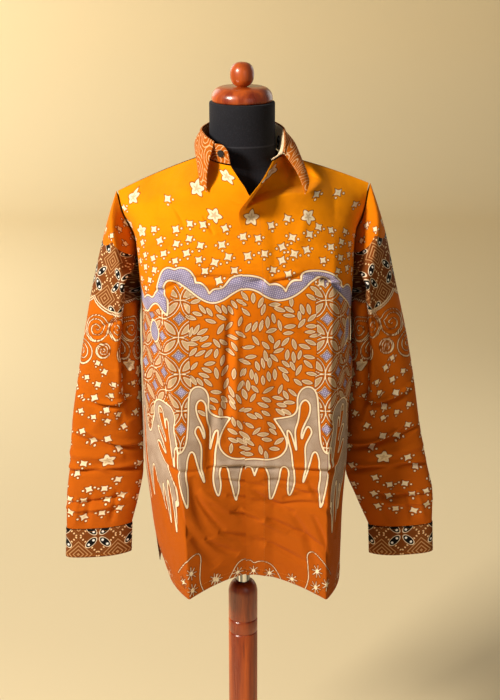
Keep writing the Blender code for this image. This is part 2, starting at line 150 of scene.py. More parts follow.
def feed(shader, key, value):
    value.tree.links.new(value.socket, shader.inputs[key])


def bump(height, strength, distance):
    return height.node("ShaderNodeBump", None, {
        "Strength": strength, "Distance": distance, "Height": height})


def add_mesh(name, points, faces, material, smooth=True):
    mesh = bpy.data.meshes.new(name)
    mesh.from_pydata([tuple(map(float, point)) for point in points], [], faces)
    mesh.materials.append(material)
    if smooth:
        mesh.shade_smooth()
    piece = bpy.data.objects.new(name, mesh)
    scene.collection.objects.link(piece)
    return piece


floor_paint, floor_shader, shade = new_material("floor_paint", 0.85)
speckle = shade.node("ShaderNodeTexNoise", None, {"Scale": 3.0, "Detail": 3.0})
feed(floor_shader, "Base Color", speckle.mix((0.84, 0.69, 0.42), (0.88, 0.73, 0.46)))
SWEEP_WIDE, SWEEP_FRONT, SWEEP_DEEP, SWEEP_HIGH, SWEEP_BEND = 9.0, -7.0, 6.6, 5.0, 1.0
sweep = [(SWEEP_FRONT, 0.0)]
sweep += [(SWEEP_DEEP - SWEEP_BEND + SWEEP_BEND * math.sin(t), SWEEP_BEND * (1 - math.cos(t)))
          for t in np.linspace(0, math.pi / 2, 12)]
sweep += [(SWEEP_DEEP, SWEEP_HIGH)]
floor_points = [(x, y, z) for y, z in sweep for x in (-SWEEP_WIDE, SWEEP_WIDE)]
floor_faces = [(2 * i, 2 * i + 1, 2 * i + 3, 2 * i + 2) for i in range(len(sweep) - 1)]
backdrop = add_mesh("backdrop", floor_points, floor_faces, floor_paint)

# ---------------------------------------------------------------------------------------------
# The dress form: a moulded torso under charcoal jersey, a turned and varnished wooden cap, ball,
# column and foot, and a chromed tube between torso and column.
# ---------------------------------------------------------------------------------------------
jersey, shader, shade = new_material("jersey", 0.88, sheen_weight=0.04, sheen_roughness=0.5,
                                     specular_ior_level=0.22)
place = shade.node("ShaderNodeTexCoord", output=3)
ribs = shade.node("ShaderNodeTexWave", {"bands_direction": "X"}, {
    "Vector": place, "Scale": 260.0, "Distortion": 1.4, "Detail": 2.0})
fluff = shade.node("ShaderNodeTexNoise", None, {"Vector": place, "Scale": 420.0, "Detail": 4.0})
worn = shade.node("ShaderNodeTexNoise", None, {"Vector": place, "Scale": 9.0, "Detail": 3.0})
height = shade.node("ShaderNodeSeparateXYZ", None, {"Vector": place}, output=2)
NECK_SEAM_HEIGHT = 1.4427
seam_line = height - NECK_SEAM_HEIGHT
seam_line = seam_line.maths("ABSOLUTE", seam_line).ramp(0.0006, 0.0022, 1.0, 0.0)
tint = worn.mix((0.006, 0.006, 0.009), (0.012, 0.012, 0.017))
tint = (fluff.ramp(0.45, 0.75) * 0.5).mix(tint, (0.022, 0.022, 0.029))
feed(shader, "Base Color", (seam_line * 0.45).mix(tint, (0.05, 0.05, 0.06)))
feed(shader, "Normal", bump(ribs * 0.5 + fluff * 0.5 + seam_line * 1.5, 0.55, 0.0006))

wood, shader, shade = new_material("varnished_wood", 0.3, coat_weight=0.38, coat_roughness=0.16)
place = shade.node("ShaderNodeTexCoord", output=3)
stretched = shade.node("ShaderNodeMapping", None, {"Vector": place, "Scale": (1.0, 1.0, 0.07)})
figure = shade.node("ShaderNodeTexNoise", None, {
    "Vector": stretched, "Scale": 34.0, "Detail": 6.0, "Roughness": 0.62, "Distortion": 0.4})
pores = shade.node("ShaderNodeTexNoise", None, {"Vector": stretched, "Scale": 300.0, "Detail": 3.0})
tint = figure.ramp(0.35, 0.65).mix((0.19, 0.020, 0.003), (0.50, 0.088, 0.007))
tint = (pores.ramp(0.55, 0.75) * 0.4).mix(tint, (0.07, 0.010, 0.004))
feed(shader, "Base Color", tint)
feed(shader, "Roughness", figure.ramp(0.3, 0.7, 0.26, 0.40))
feed(shader, "Normal", bump(pores, 0.12, 0.0004))

chrome, shader, shade = new_material("chromed_tube", 0.1, metallic=1.0)
place = shade.node("ShaderNodeTexCoord", output=3)
# The dark and bright streaks along the tube's base colour are painted reflections of the room; the same
# noise also varies the roughness.
drawn = shade.node("ShaderNodeMapping", None, {"Vector": place, "Scale": (1.0, 1.0, 0.02)})
painted_reflection_streaks = shade.node("ShaderNodeTexNoise", None, {"Vector": drawn, "Scale": 210.0, "Detail": 2.0})
feed(shader, "Base Color", painted_reflection_streaks.ramp(0.42, 0.58).mix((0.16, 0.16, 0.17), (0.86, 0.86, 0.87)))
feed(shader, "Roughness", painted_reflection_streaks.ramp(0.3, 0.7, 0.08, 0.2))

# torso: height | half width | half depth to the front, to the back (mm) | squareness
TORSO_SECTIONS = np.array([
    [768, 100, 70, 70, 2.2], [772, 128, 88, 88, 2.2], [784, 140, 94, 95, 2.3], [830, 154, 100, 103, 2.3],
    [930, 156, 100, 100, 2.3], [1040, 146, 97, 90, 2.3], [1150, 158, 107, 98, 2.3],
    [1230, 166, 110, 104, 2.3], [1290, 172, 100, 100, 2.3], [1330, 174, 84, 84, 2.2],
    [1352, 160, 68, 70, 2.1], [1372, 128, 62, 66, 2.1], [1391, 90, 58, 58, 2.0], [1408, 66, 55, 53, 2.0],
    [1422, 56.5, 55, 54, 2.0], [1443, 55.5, 55.5, 55.5, 2.0], [1480, 54.5, 54.5, 54.5, 2.0],
    [1507, 54.5, 54.5, 54.5, 2.0], [1509.4, 54.1, 54.1, 54.1, 2.0], [1510, 52.5, 52.5, 52.5, 2.0],
])
NECK_TOP, TORSO_BOTTOM = 1.510, 0.768
# cap: radius | height above the neck (mm)
CAP_PROFILE = [(47.5, 0.3), (49.6, 1.6), (50.5, 5.0), (50.2, 9.5), (48.6, 14.5), (45.3, 19.0), (40.5, 22.6),
               (36.5, 24.0)]
BALL_RADIUS, BALL_HALF_HEIGHT, BALL_CENTRE_Z, BALL_SQUARE = 0.0197, 0.0202, 1.5541, 2.5
TUBE_RADIUS = 0.0125
COLUMN_RADIUS, COLUMN_TOP, DOME_HEIGHT = 0.027, 0.628, 0.024
GROOVE_HEIGHTS = (0.524, 0.5515)
BASE_RADIUS, BASE_HEIGHT = 0.190, 0.028
GAP = 0.0003


def smooth(at, places, values, pointwise=False):
    """Values along a monotone cubic through the places, for places in rising order. Pointwise,
    the values hold one curve for each entry of at, and each entry reads its own."""
    places, values = np.asarray(places, float), np.asarray(values, float)
    at = np.asarray(at, float)
    step = np.diff(places)
    slope = np.diff(values, axis=0) / step.reshape(-1, *[1] * (values.ndim - 1))
    before, after = slope[:-1], slope[1:]
    with np.errstate(divide="ignore", invalid="ignore"):
        inner = np.where(before * after > 0, 2 * before * after / (before + after), 0.0)
    tangent = np.concatenate([slope[:1], inner, slope[-1:]])
    i = np.clip(np.searchsorted(places, at, side="right") - 1, 0, len(step) - 1)
    first = (i, np.arange(len(at))) if pointwise else (i,)
    second = (i + 1, *first[1:])
    shape = at.shape + (1,) * (values[first].ndim - at.ndim)
    h = step[i].reshape(shape)
    f = ((at - places[i]) / step[i]).reshape(shape)
    return (
        (1 + 2 * f) * (1 - f) ** 2 * values[first]
        + f * (1 - f) ** 2 * h * tangent[first]
        + f * f * (3 - 2 * f) * values[second]
        - f * f * (1 - f) * h * tangent[second]
    )


def place_piece(piece, node=None):
    """Puts a piece on the part's one body and in place of its CAD node."""
    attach(piece, "root")
    if node:
        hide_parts(node)


def lofted(name, rings, node, material):
    """A closed solid through rings of equal length, listed from the bottom up."""
    count, sides = rings.shape[:2]
    faces = [(i * sides + j, i * sides + (j + 1) % sides, (i + 1) * sides + (j + 1) % sides,
              (i + 1) * sides + j) for i in range(count - 1) for j in range(sides)]
    faces += [tuple(reversed(range(sides))), tuple(range((count - 1) * sides, count * sides))]
    piece = add_mesh(name, rings.reshape(-1, 3), faces, material)
    piece.data.set_sharp_from_angle(angle=math.radians(35))
    place_piece(piece, node)


def turned(name, profile, node, material, sides=120):
    """A piece turned on a lathe, from (radius, height) pairs listed from the bottom up."""
    turn = np.linspace(0, 2 * np.pi, sides, endpoint=False)
    circle = np.stack([np.cos(turn), np.sin(turn), 0 * turn], axis=-1)
    lofted(name, np.array([circle * radius + np.array([0, 0, z]) for radius, z in profile]), node,
           material)


turn = np.linspace(0, 2 * np.pi, 112, endpoint=False)
heights = np.unique(np.concatenate([np.linspace(768, 1510, 110), TORSO_SECTIONS[:, 0]]))
rings = []
for z, (wide, ahead, behind, square) in zip(heights, smooth(heights, TORSO_SECTIONS[:, 0],
                                                            TORSO_SECTIONS[:, 1:])):
    x = wide * np.sign(np.cos(turn)) * np.abs(np.cos(turn)) ** (2 / square)
    y = np.where(np.sin(turn) < 0, ahead, behind) * np.sign(np.sin(turn)) * np.abs(
        np.sin(turn)) ** (2 / square)
    rings.append(np.stack([x, y, np.full(turn.size, z)], axis=-1) * MM)
lofted("torso", np.array(rings), "form_torso", jersey)

cap = smooth(np.linspace(0, 7, 40), np.arange(8), np.array(CAP_PROFILE) * MM)
cap_top = NECK_TOP + cap[-1, 1]
turned("cap", cap + np.array([0, NECK_TOP]), "neck_cap", wood)
BALL_NECK_RADIUS, BALL_FROM, BALL_TO = 0.0085, -1.15, math.pi / 2 - 0.02
ball = [(BALL_RADIUS * math.cos(t) ** (2 / BALL_SQUARE),
         BALL_CENTRE_Z + BALL_HALF_HEIGHT * np.sign(t) * abs(math.sin(t)) ** (2 / BALL_SQUARE))
        for t in np.linspace(BALL_FROM, BALL_TO, 50)]
turned("ball", [(BALL_NECK_RADIUS, cap_top + GAP)] + ball, "finial", wood)
turned("tube", [(TUBE_RADIUS, COLUMN_TOP + GAP), (TUBE_RADIUS, TORSO_BOTTOM - GAP)], "post",
       chrome)
COLLAR_RADIUS = COLUMN_RADIUS * 1.25  # the column's widening on the foot
GROOVE_DEPTH, GROOVE_HALF_WIDTH, DOME_TOP_RADIUS, FOOT_ROUND = 0.0016, 0.0022, 0.013, 0.010
shaft = [(COLLAR_RADIUS, BASE_HEIGHT + GAP), (COLLAR_RADIUS, BASE_HEIGHT + 0.008),
         (COLUMN_RADIUS, BASE_HEIGHT + 0.014)]
for groove in GROOVE_HEIGHTS:
    shaft += [(COLUMN_RADIUS - GROOVE_DEPTH * math.cos(t) ** 2,
               groove + GROOVE_HALF_WIDTH * t * 2 / math.pi)
              for t in np.linspace(-math.pi / 2, math.pi / 2, 9)]
shaft += [(DOME_TOP_RADIUS + (COLUMN_RADIUS - DOME_TOP_RADIUS) * math.cos(t),
           COLUMN_TOP - DOME_HEIGHT * (1 - math.sin(t))) for t in np.linspace(0, math.pi / 2, 24)]
turned("shaft", shaft, "column", wood)
foot = [(BASE_RADIUS, 0.0)]
foot += [(BASE_RADIUS - FOOT_ROUND * (1 - math.cos(t)), BASE_HEIGHT - FOOT_ROUND * (1 - math.sin(t)))
         for t in np.linspace(0, math.pi / 2, 16)]
turned("foot", foot, "base", wood, sides=180)

# ---------------------------------------------------------------------------------------------
# The shirt's body: the surface that fronts and back lie on. Cotton hangs from the shoulders in a
# box with pressed vertical creases, so it is a set of sections down the cloth from the neckline.
# ---------------------------------------------------------------------------------------------
NECKLINE_CENTRE_Y, NECKLINE_WIDE = -0.012, 0.0625
NECKLINE_FRONT, NECKLINE_BACK = 0.077, 0.080
NECK_SHARE, CREASE_SHARE = 0.30, 0.64
TIP_RIGHT, TIP_LEFT = (-0.210, 0.0, 1.361), (0.213, 0.0, 1.375)
NECK_POINT_Z = 1.425
# drop | centre y, z | crease y, z | seam y, z | x of right seam, right crease, centre, left crease,
# left seam | curl of the centre | bulge of the side part (all mm but curl)
FRONT_SECTIONS = np.array([
    [45, -106, 1383, -62, 1358, -22, 1328, -199, -136, 16, 151, 202, 2.4, 9],
    [115, -121, 1312, -98, 1298, -16, 1275, -178, -132, 18, 151, 185, 2.4, 16],
    [185, -127, 1242, -114, 1238, -4, 1218, -173, -131, 18, 151, 183, 2.2, 17],
    [262, -125, 1165, -118, 1163, 2, 1160, -174, -126, 18, 150, 184, 2.0, 14],
    [377, -122, 1050, -125, 1049, 2, 1048, -176, -118, 18, 149, 186, 1.8, 12],
    [510, -119, 917, -136, 915, 4, 913, -178, -107, 18, 147, 184, 1.6, 14],
    [625, -113, 803, -145, 797, 4, 793, -168, -99, 18, 146, 177, 1.6, 12],
    [680, -110, 749, -149, 736, 2, 725, -160, -96, 18, 146, 175, 1.6, 12],
    [735, -107, 697, -151, 669, -16, 664, -138, -93, 18, 146, 176, 1.6, 9],
])
BACK_SECTIONS = np.array([
    [45, 92, 1400, 56, 1370, 36, 1328, -199, -140, 4, 152, 202, 2.2, 6],
    [115, 113, 1333, 95, 1310, 58, 1275, -178, -137, 4, 151, 185, 2.2, 10],
    [185, 119, 1264, 110, 1248, 46, 1218, -173, -135, 4, 150, 183, 2.2, 12],
    [262, 120, 1187, 117, 1172, 2, 1160, -174, -133, 4, 149, 184, 2.2, 11],
    [377, 116, 1072, 119, 1060, 2, 1048, -176, -131, 4, 148, 186, 1.8, 12],
    [510, 112, 939, 124, 925, 4, 913, -178, -128, 4, 146, 184, 1.6, 12],
    [625, 109, 825, 128, 808, 4, 793, -168, -124, 4, 145, 177, 1.6, 12],
    [680, 108, 763, 130, 744, 2, 725, -160, -122, 4, 145, 175, 1.6, 12],
    [735, 108, 702, 131, 680, 8, 664, -154, -120, 4, 144, 172, 1.6, 10],
])
CREASE_ROUND = 0.022  # share over which the pressed crease is rounded
HEM_DROP, ARMHOLE_DROP = 0.735, 0.262  # from the neckline or shoulder seam, along the cloth
SIDE_FADE, TOP_FADE = 0.03, 0.05  # creases fade out within this share of a seam, and this drop


def neck_ring(angle):
    """A point of the neckline, for an angle in degrees from the front."""
    turn = np.radians(angle)
    reach = np.where(np.cos(turn) > 0, NECKLINE_FRONT, NECKLINE_BACK)
    rise = np.where(np.cos(turn) > 0, -0.005, 0.016)
    return np.stack([
        NECKLINE_WIDE * np.sin(turn),
        NECKLINE_CENTRE_Y - reach * np.cos(turn),
        NECK_POINT_Z + rise * np.cos(turn) ** 2,
    ], axis=-1)


def top_row(share, back):
    """The neckline and both shoulder seams, for shares from -1 (right tip) to 1 (left tip)."""
    side = np.where(share < 0, -1.0, 1.0)
    inner = np.clip(np.abs(share) / NECK_SHARE, 0, 1) * 90
    ring = neck_ring(side * (180 - inner if back else inner))
    neck = neck_ring(side * 90)
    tip = np.where(share[..., None] < 0, np.array(TIP_RIGHT), np.array(TIP_LEFT))
    along = np.clip((np.abs(share) - NECK_SHARE) / (1 - NECK_SHARE), 0, 1)[..., None]
    shoulder = neck + (tip - neck) * along
    shoulder[..., 2:] += 0.012 * along * (1 - along)
    return np.where(along > 0, shoulder, ring)


def body_row(share, row):
    """One horizontal section of the shirt's body: centre part, pressed crease and side part."""
    _, cy, cz, ry, rz, sy, sz, right_seam, right_crease, cx, left_crease, left_seam, curl, bulge = row
    right = (share < 0)[..., None]
    centre = np.array([cx, cy, cz])
    crease = np.where(right, np.array([right_crease, ry, rz]), np.array([left_crease, ry, rz]))
    seam = np.where(right, np.array([right_seam, sy, sz]), np.array([left_seam, sy, sz]))
    part = np.clip(np.abs(share) / CREASE_SHARE, 0, 1)[..., None]
    flat = centre + (crease - centre) * part ** np.array([1, curl, curl])
    side = np.clip((np.abs(share) - CREASE_SHARE) / (1 - CREASE_SHARE), 0, 1)[..., None]
    chord = seam - crease
    out = np.abs(chord[..., 1::-1]) * np.sign(seam[..., :1] * [1, 0] + cy * np.array([0, 1]))
    out /= np.linalg.norm(out, axis=-1, keepdims=True)
    wall = crease + chord * side
    wall[..., :2] += 4 * bulge * side * (1 - side) * out
    return np.where(side > 0, wall, flat) * MM


def body_surface(share, drop, back=False):
    """Points of the shirt's body for shares of the half width and drops in metres."""
    share, drop = np.broadcast_arrays(np.asarray(share, float), np.asarray(drop, float))
    sections = BACK_SECTIONS if back else FRONT_SECTIONS
    flat = share.ravel()
    rows = np.stack([top_row(flat, back)] + [body_row(flat, row) for row in sections])
    places = np.concatenate([[0], sections[:, 0] * MM])
    return smooth(drop.ravel(), places, rows, pointwise=True).reshape(share.shape + (3,))


def rounded_body(share, drop, back=False):
    """The body surface with its pressed creases rounded a little."""
    steps = np.array([-1.0, -0.5, 0.0, 0.5, 1.0]) * CREASE_ROUND / 2
    limit = np.clip(1 - np.abs(share), 0, CREASE_ROUND / 2) / (CREASE_ROUND / 2)
    return np.mean([body_surface(share + step * limit, drop, back) for step in steps], axis=0)


def outward(grid):
    """Unit normals of a grid of points, on the side away from the form's axis."""
    normal = np.cross(np.gradient(grid, axis=1), np.gradient(grid, axis=0))
    normal /= np.maximum(np.linalg.norm(normal, axis=-1, keepdims=True), 1e-12)
    middle = grid.reshape(-1, 3).mean(axis=0) * np.array([1, 1, 0])
    return normal * np.sign(np.sum(normal.mean(axis=(0, 1)) * middle))


def creases(across, along, table):
    """Soft troughs (depth below 0) and ridges along lines over the cloth. Each row is: start
    across, start along, end across, end along, depth, half width, bow to one side (mm)."""
    total = np.zeros(across.shape)
    for x0, y0, x1, y1, depth, wide, bow in np.array(table) * MM:
        length = math.hypot(x1 - x0, y1 - y0)
        dx, dy = (x1 - x0) / length, (y1 - y0) / length
        run = ((across - x0) * dx + (along - y0) * dy) / length
        off = (across - x0) * -dy + (along - y0) * dx - bow * 4 * run * (1 - run)
        taper = np.clip(np.sin(np.pi * np.clip(run, 0, 1)), 0, 1) ** 0.6
        width = wide * (0.7 + 0.5 * np.clip(run, 0, 1))
        total += depth * taper * np.exp(-((off / width) ** 2))
    return total


def add_cloth(name, grid, across, along, fields, material, closed=False, thickness=0.0):
    """A sheet of cloth: its points, its place on the cut as a UV map in metres, and the distance
    fields of its print as attributes."""
    rows, columns = grid.shape[:2]
    last = columns if closed else columns - 1
    i, j = np.meshgrid(np.arange(rows - 1), np.arange(last), indexing="ij")
    k = (j + 1) % columns
    faces = np.stack([i * columns + j, i * columns + k, (i + 1) * columns + k, (i + 1) * columns + j],
                     axis=-1).reshape(-1, 4)
    centre = grid.mean(axis=1, keepdims=True) if closed else np.array([0.0, 0.0, 1.0])
    out = grid - centre
    if not closed:
        out[..., 2] = 0
    a, b, c = grid.reshape(-1, 3)[faces[:, 0]], grid.reshape(-1, 3)[faces[:, 1]], \
        grid.reshape(-1, 3)[faces[:, 2]]
    facing = np.sum(np.cross(b - a, c - b) * out.reshape(-1, 3)[faces[:, 0]])
    if facing < 0:
        faces = faces[:, ::-1]
    mesh = bpy.data.meshes.new(name)
    mesh.vertices.add(rows * columns)
    mesh.vertices.foreach_set("co", grid.astype(np.float32).ravel())
    mesh.loops.add(faces.size)
    mesh.loops.foreach_set("vertex_index", faces.ravel().astype(np.int32))
    mesh.polygons.add(len(faces))
    mesh.polygons.foreach_set("loop_start", np.arange(0, faces.size, 4, dtype=np.int32))
    mesh.update(calc_edges=True)
    mesh.materials.append(material)
    mesh.shade_smooth()
    uv = np.stack([across, along], axis=-1).reshape(-1, 2)[faces.ravel()]
    if closed:  # the last column meets the first again, one turn further on
        wrap = np.repeat((j == columns - 1).ravel(), 4) & (faces.ravel() % columns == 0)
        turn = np.linalg.norm(grid[:, 0] - grid[:, -1], axis=-1)
        uv[wrap, 0] = (across[:, -1] + turn)[faces.ravel()[wrap] // columns]
    layer = mesh.uv_layers.new(name="cut")
    layer.data.foreach_set("uv", uv.astype(np.float32).ravel())
    for field, values in fields.items():
        made = mesh.attributes.new(field, "FLOAT", "POINT")
        made.data.foreach_set("value", np.clip(values, -0.05, 0.05).astype(np.float32).ravel())
    piece = bpy.data.objects.new(name, mesh)
    scene.collection.objects.link(piece)
    if thickness:
        wall = piece.modifiers.new("Thickness", "SOLIDIFY")
        wall.thickness, wall.offset = thickness, 0.0
    return piece


def turned_under(grid, *sheets, depth=0.0009, steps=(0, 2, 5, 8)):
    """The grid with its last rows folded to the inside as a hem, and each sheet to match."""
    normal = outward(grid)
    hem = np.stack([grid[-1 - k] - normal[-1 - k] * depth for k in steps])
    result = [np.concatenate([grid, hem])]
    result += [np.concatenate([sheet, np.stack([sheet[-1 - k] for k in steps])]) for sheet in sheets]
    return result


# ---------------------------------------------------------------------------------------------
# The print. Wax-resist motifs are drawn on the flat cut as distance fields: cream line work and
# stars, pale grains and petals, and grey areas. The dyed cotton shows between them.
# ---------------------------------------------------------------------------------------------
CREAM, BEIGE = (0.90, 0.74, 0.50), (0.58, 0.40, 0.22)
LAVENDER, LAVENDER_DARK = (0.32, 0.28, 0.46), (0.22, 0.19, 0.33)
ASH, ASH_DARK = (0.40, 0.29, 0.23), (0.30, 0.20, 0.15)
OUTLINE, HATCHED = (0.17, 0.040, 0.003), (0.19, 0.050, 0.008)
LINE = 0.0014  # half width of the cream lines
FAR = 0.05
LATTICE = 0.072  # repeat of the hatched cloth with dotted ovals
KAWUNG = 0.064  # height of the kawung repeat
KAWUNG_AT = (0.121, 0.222)  # where four of its circles cross


def line_field(distance, half_width=LINE):
    return np.abs(distance) - half_width


def star_field(u, t, stars):
    """Square flowers with four hollow sides and two or three dots, and larger ones with five
    pointed petals: rows of u, t, half size and angle."""
    field = np.full(u.shape, FAR)
    for index, (x, y, size, angle) in enumerate(stars):
        near = (np.abs(u - x) < size * 3) & (np.abs(t - y) < size * 3)
        if not near.any():
            continue
        c, s = math.cos(angle), math.sin(angle)
        dx, dy = u[near] - x, t[near] - y
        ax, ay = c * dx + s * dy, c * dy - s * dx
        if size > 0.0070:
            turn, radius = np.arctan2(ay, ax), np.hypot(ax, ay)
            point = np.abs(2 * ((2.5 * turn / np.pi) % 1.0) - 1)
            body = 0.6 * (radius - size * 1.75 * (0.50 + 0.50 * point))
        else:
            high, low = np.maximum(np.abs(ax), np.abs(ay)), np.minimum(np.abs(ax), np.abs(ay))
            body = high - size * (0.68 + 0.34 * np.clip(low / size, 0, 1) ** 1.5)
            for px, py in ((1.6, 0), (0, 1.6), (-1.6, 0))[: 2 + (index % 3 == 0)]:
                body = np.minimum(body, np.hypot(ax - px * size, ay - py * size) - 0.0018)
        field[near] = np.minimum(field[near], body)
    return field


def grain_field(u, t, grains):
    """Pointed grains: rows of u, t, half length, half width, angle."""
    field = np.full(u.shape, FAR)
    for x, y, long, wide, angle in grains:
        near = (np.abs(u - x) < long * 1.6) & (np.abs(t - y) < long * 1.6)
        if not near.any():
            continue
        c, s = math.cos(angle), math.sin(angle)
        dx, dy = u[near] - x, t[near] - y
        ax, ay = np.abs(c * dx + s * dy), np.abs(c * dy - s * dx)
        bow = (long ** 2 - wide ** 2) / (2 * wide)
        field[near] = np.minimum(field[near], np.hypot(ax, ay + bow) - (bow + wide))
    return field


def scattered(rng, low, high, spacing, chance=None, tries=40):
    """Points in a box, at least the spacing apart, thinned by a chance function of u and t."""
    found = []
    cell = {}
    count = int((high[0] - low[0]) * (high[1] - low[1]) / spacing ** 2 * tries)
    for x, y in rng.uniform(low, high, (count, 2)):
        if chance is not None and rng.random() > chance(x, y):
            continue
        key = (int(x // spacing), int(y // spacing))
        close = [cell[k, m] for k in range(key[0] - 1, key[0] + 2) for m in range(key[1] - 1, key[1] + 2)
                 if (k, m) in cell]
        if all(math.hypot(x - a, y - b) >= spacing for a, b in close) and key not in cell:
            cell[key] = (x, y)
            found.append((x, y))
    return np.array(found).reshape(-1, 2)


def settled_grains(rng, centres, long, wide):
    """A grain at each centre, turned to the angle that keeps it clearest of the ones before."""
    grains, ends = [], np.empty((0, 2))
    for x, y in centres:
        half = rng.uniform(*long)
        best, clear = 0.0, -1.0
        for angle in rng.uniform(0, math.pi, 18):
            reach = np.array([-1, -0.5, 0, 0.5, 1])[:, None] * half
            spots = np.array([x, y]) + reach * np.array([math.cos(angle), math.sin(angle)])
            gap = FAR
            if len(ends):
                gap = np.min(np.hypot(*(spots[:, None] - ends[None]).transpose(2, 0, 1)))
            if gap > clear:
                best, clear, kept = angle, gap, spots
        if clear > 0.0048 or not len(ends):
            ends = np.concatenate([ends, kept])
            grains.append((x, y, half, rng.uniform(*wide), best))
    return grains


def rounded_outline(points, closed=True, times=3):
    """An outline in metres, its corners cut over and over. A doubled point stays a tighter corner."""
    points = np.array(points, float) * MM
    for _ in range(times):
        after = np.roll(points, -1, axis=0) if closed else points[1:]
        before = points if closed else points[:-1]
        cut = np.stack([0.75 * before + 0.25 * after, 0.25 * before + 0.75 * after], axis=1)
        cut = cut.reshape(-1, 2)
        points = cut if closed else np.concatenate([points[:1], cut, points[-1:]])
    return points


def outline_field(u, t, points, closed=True, margin=0.012):
    """Distance to a drawn outline, below 0 inside a closed one."""
    field = np.full(u.shape, FAR)
    low, high = points.min(axis=0) - margin, points.max(axis=0) + margin
    near = (u > low[0]) & (u < high[0]) & (t > low[1]) & (t < high[1])
    x, y = u[near], t[near]
    best = np.full(x.shape, 1.0)
    inside = np.zeros(x.shape, bool)
    after = np.roll(points, -1, axis=0) if closed else points[1:]
    for (ax, ay), (bx, by) in zip(points if closed else points[:-1], after):
        ex, ey = bx - ax, by - ay
        along = np.clip(((x - ax) * ex + (y - ay) * ey) / max(ex * ex + ey * ey, 1e-12), 0, 1)
        best = np.minimum(best, (x - ax - ex * along) ** 2 + (y - ay - ey * along) ** 2)
        if ay != by:
            crossing = ((ay > y) != (by > y)) & (x < (bx - ax) * (y - ay) / (by - ay) + ax)
            inside ^= crossing
    best = np.sqrt(best)
    field[near] = np.where(inside, -best, best) if closed else best
    return field


def kawung_field(u, t):
    """Distance to the lens-shaped petals of overlapping circles whose crossings lie on a
    diamond lattice."""
    across, down = KAWUNG_AT
    p, q = (u - across + t - down) / KAWUNG, (u - across - t + down) / KAWUNG
    p, q = p % 1.0, q % 1.0
    circles = [np.hypot(p - a, q - b) for a, b in ((-0.5, 0.5), (1.5, 0.5), (0.5, -0.5), (0.5, 1.5))]
    return (np.min(circles, axis=0) - math.sqrt(0.5)) * KAWUNG * math.sqrt(0.5)


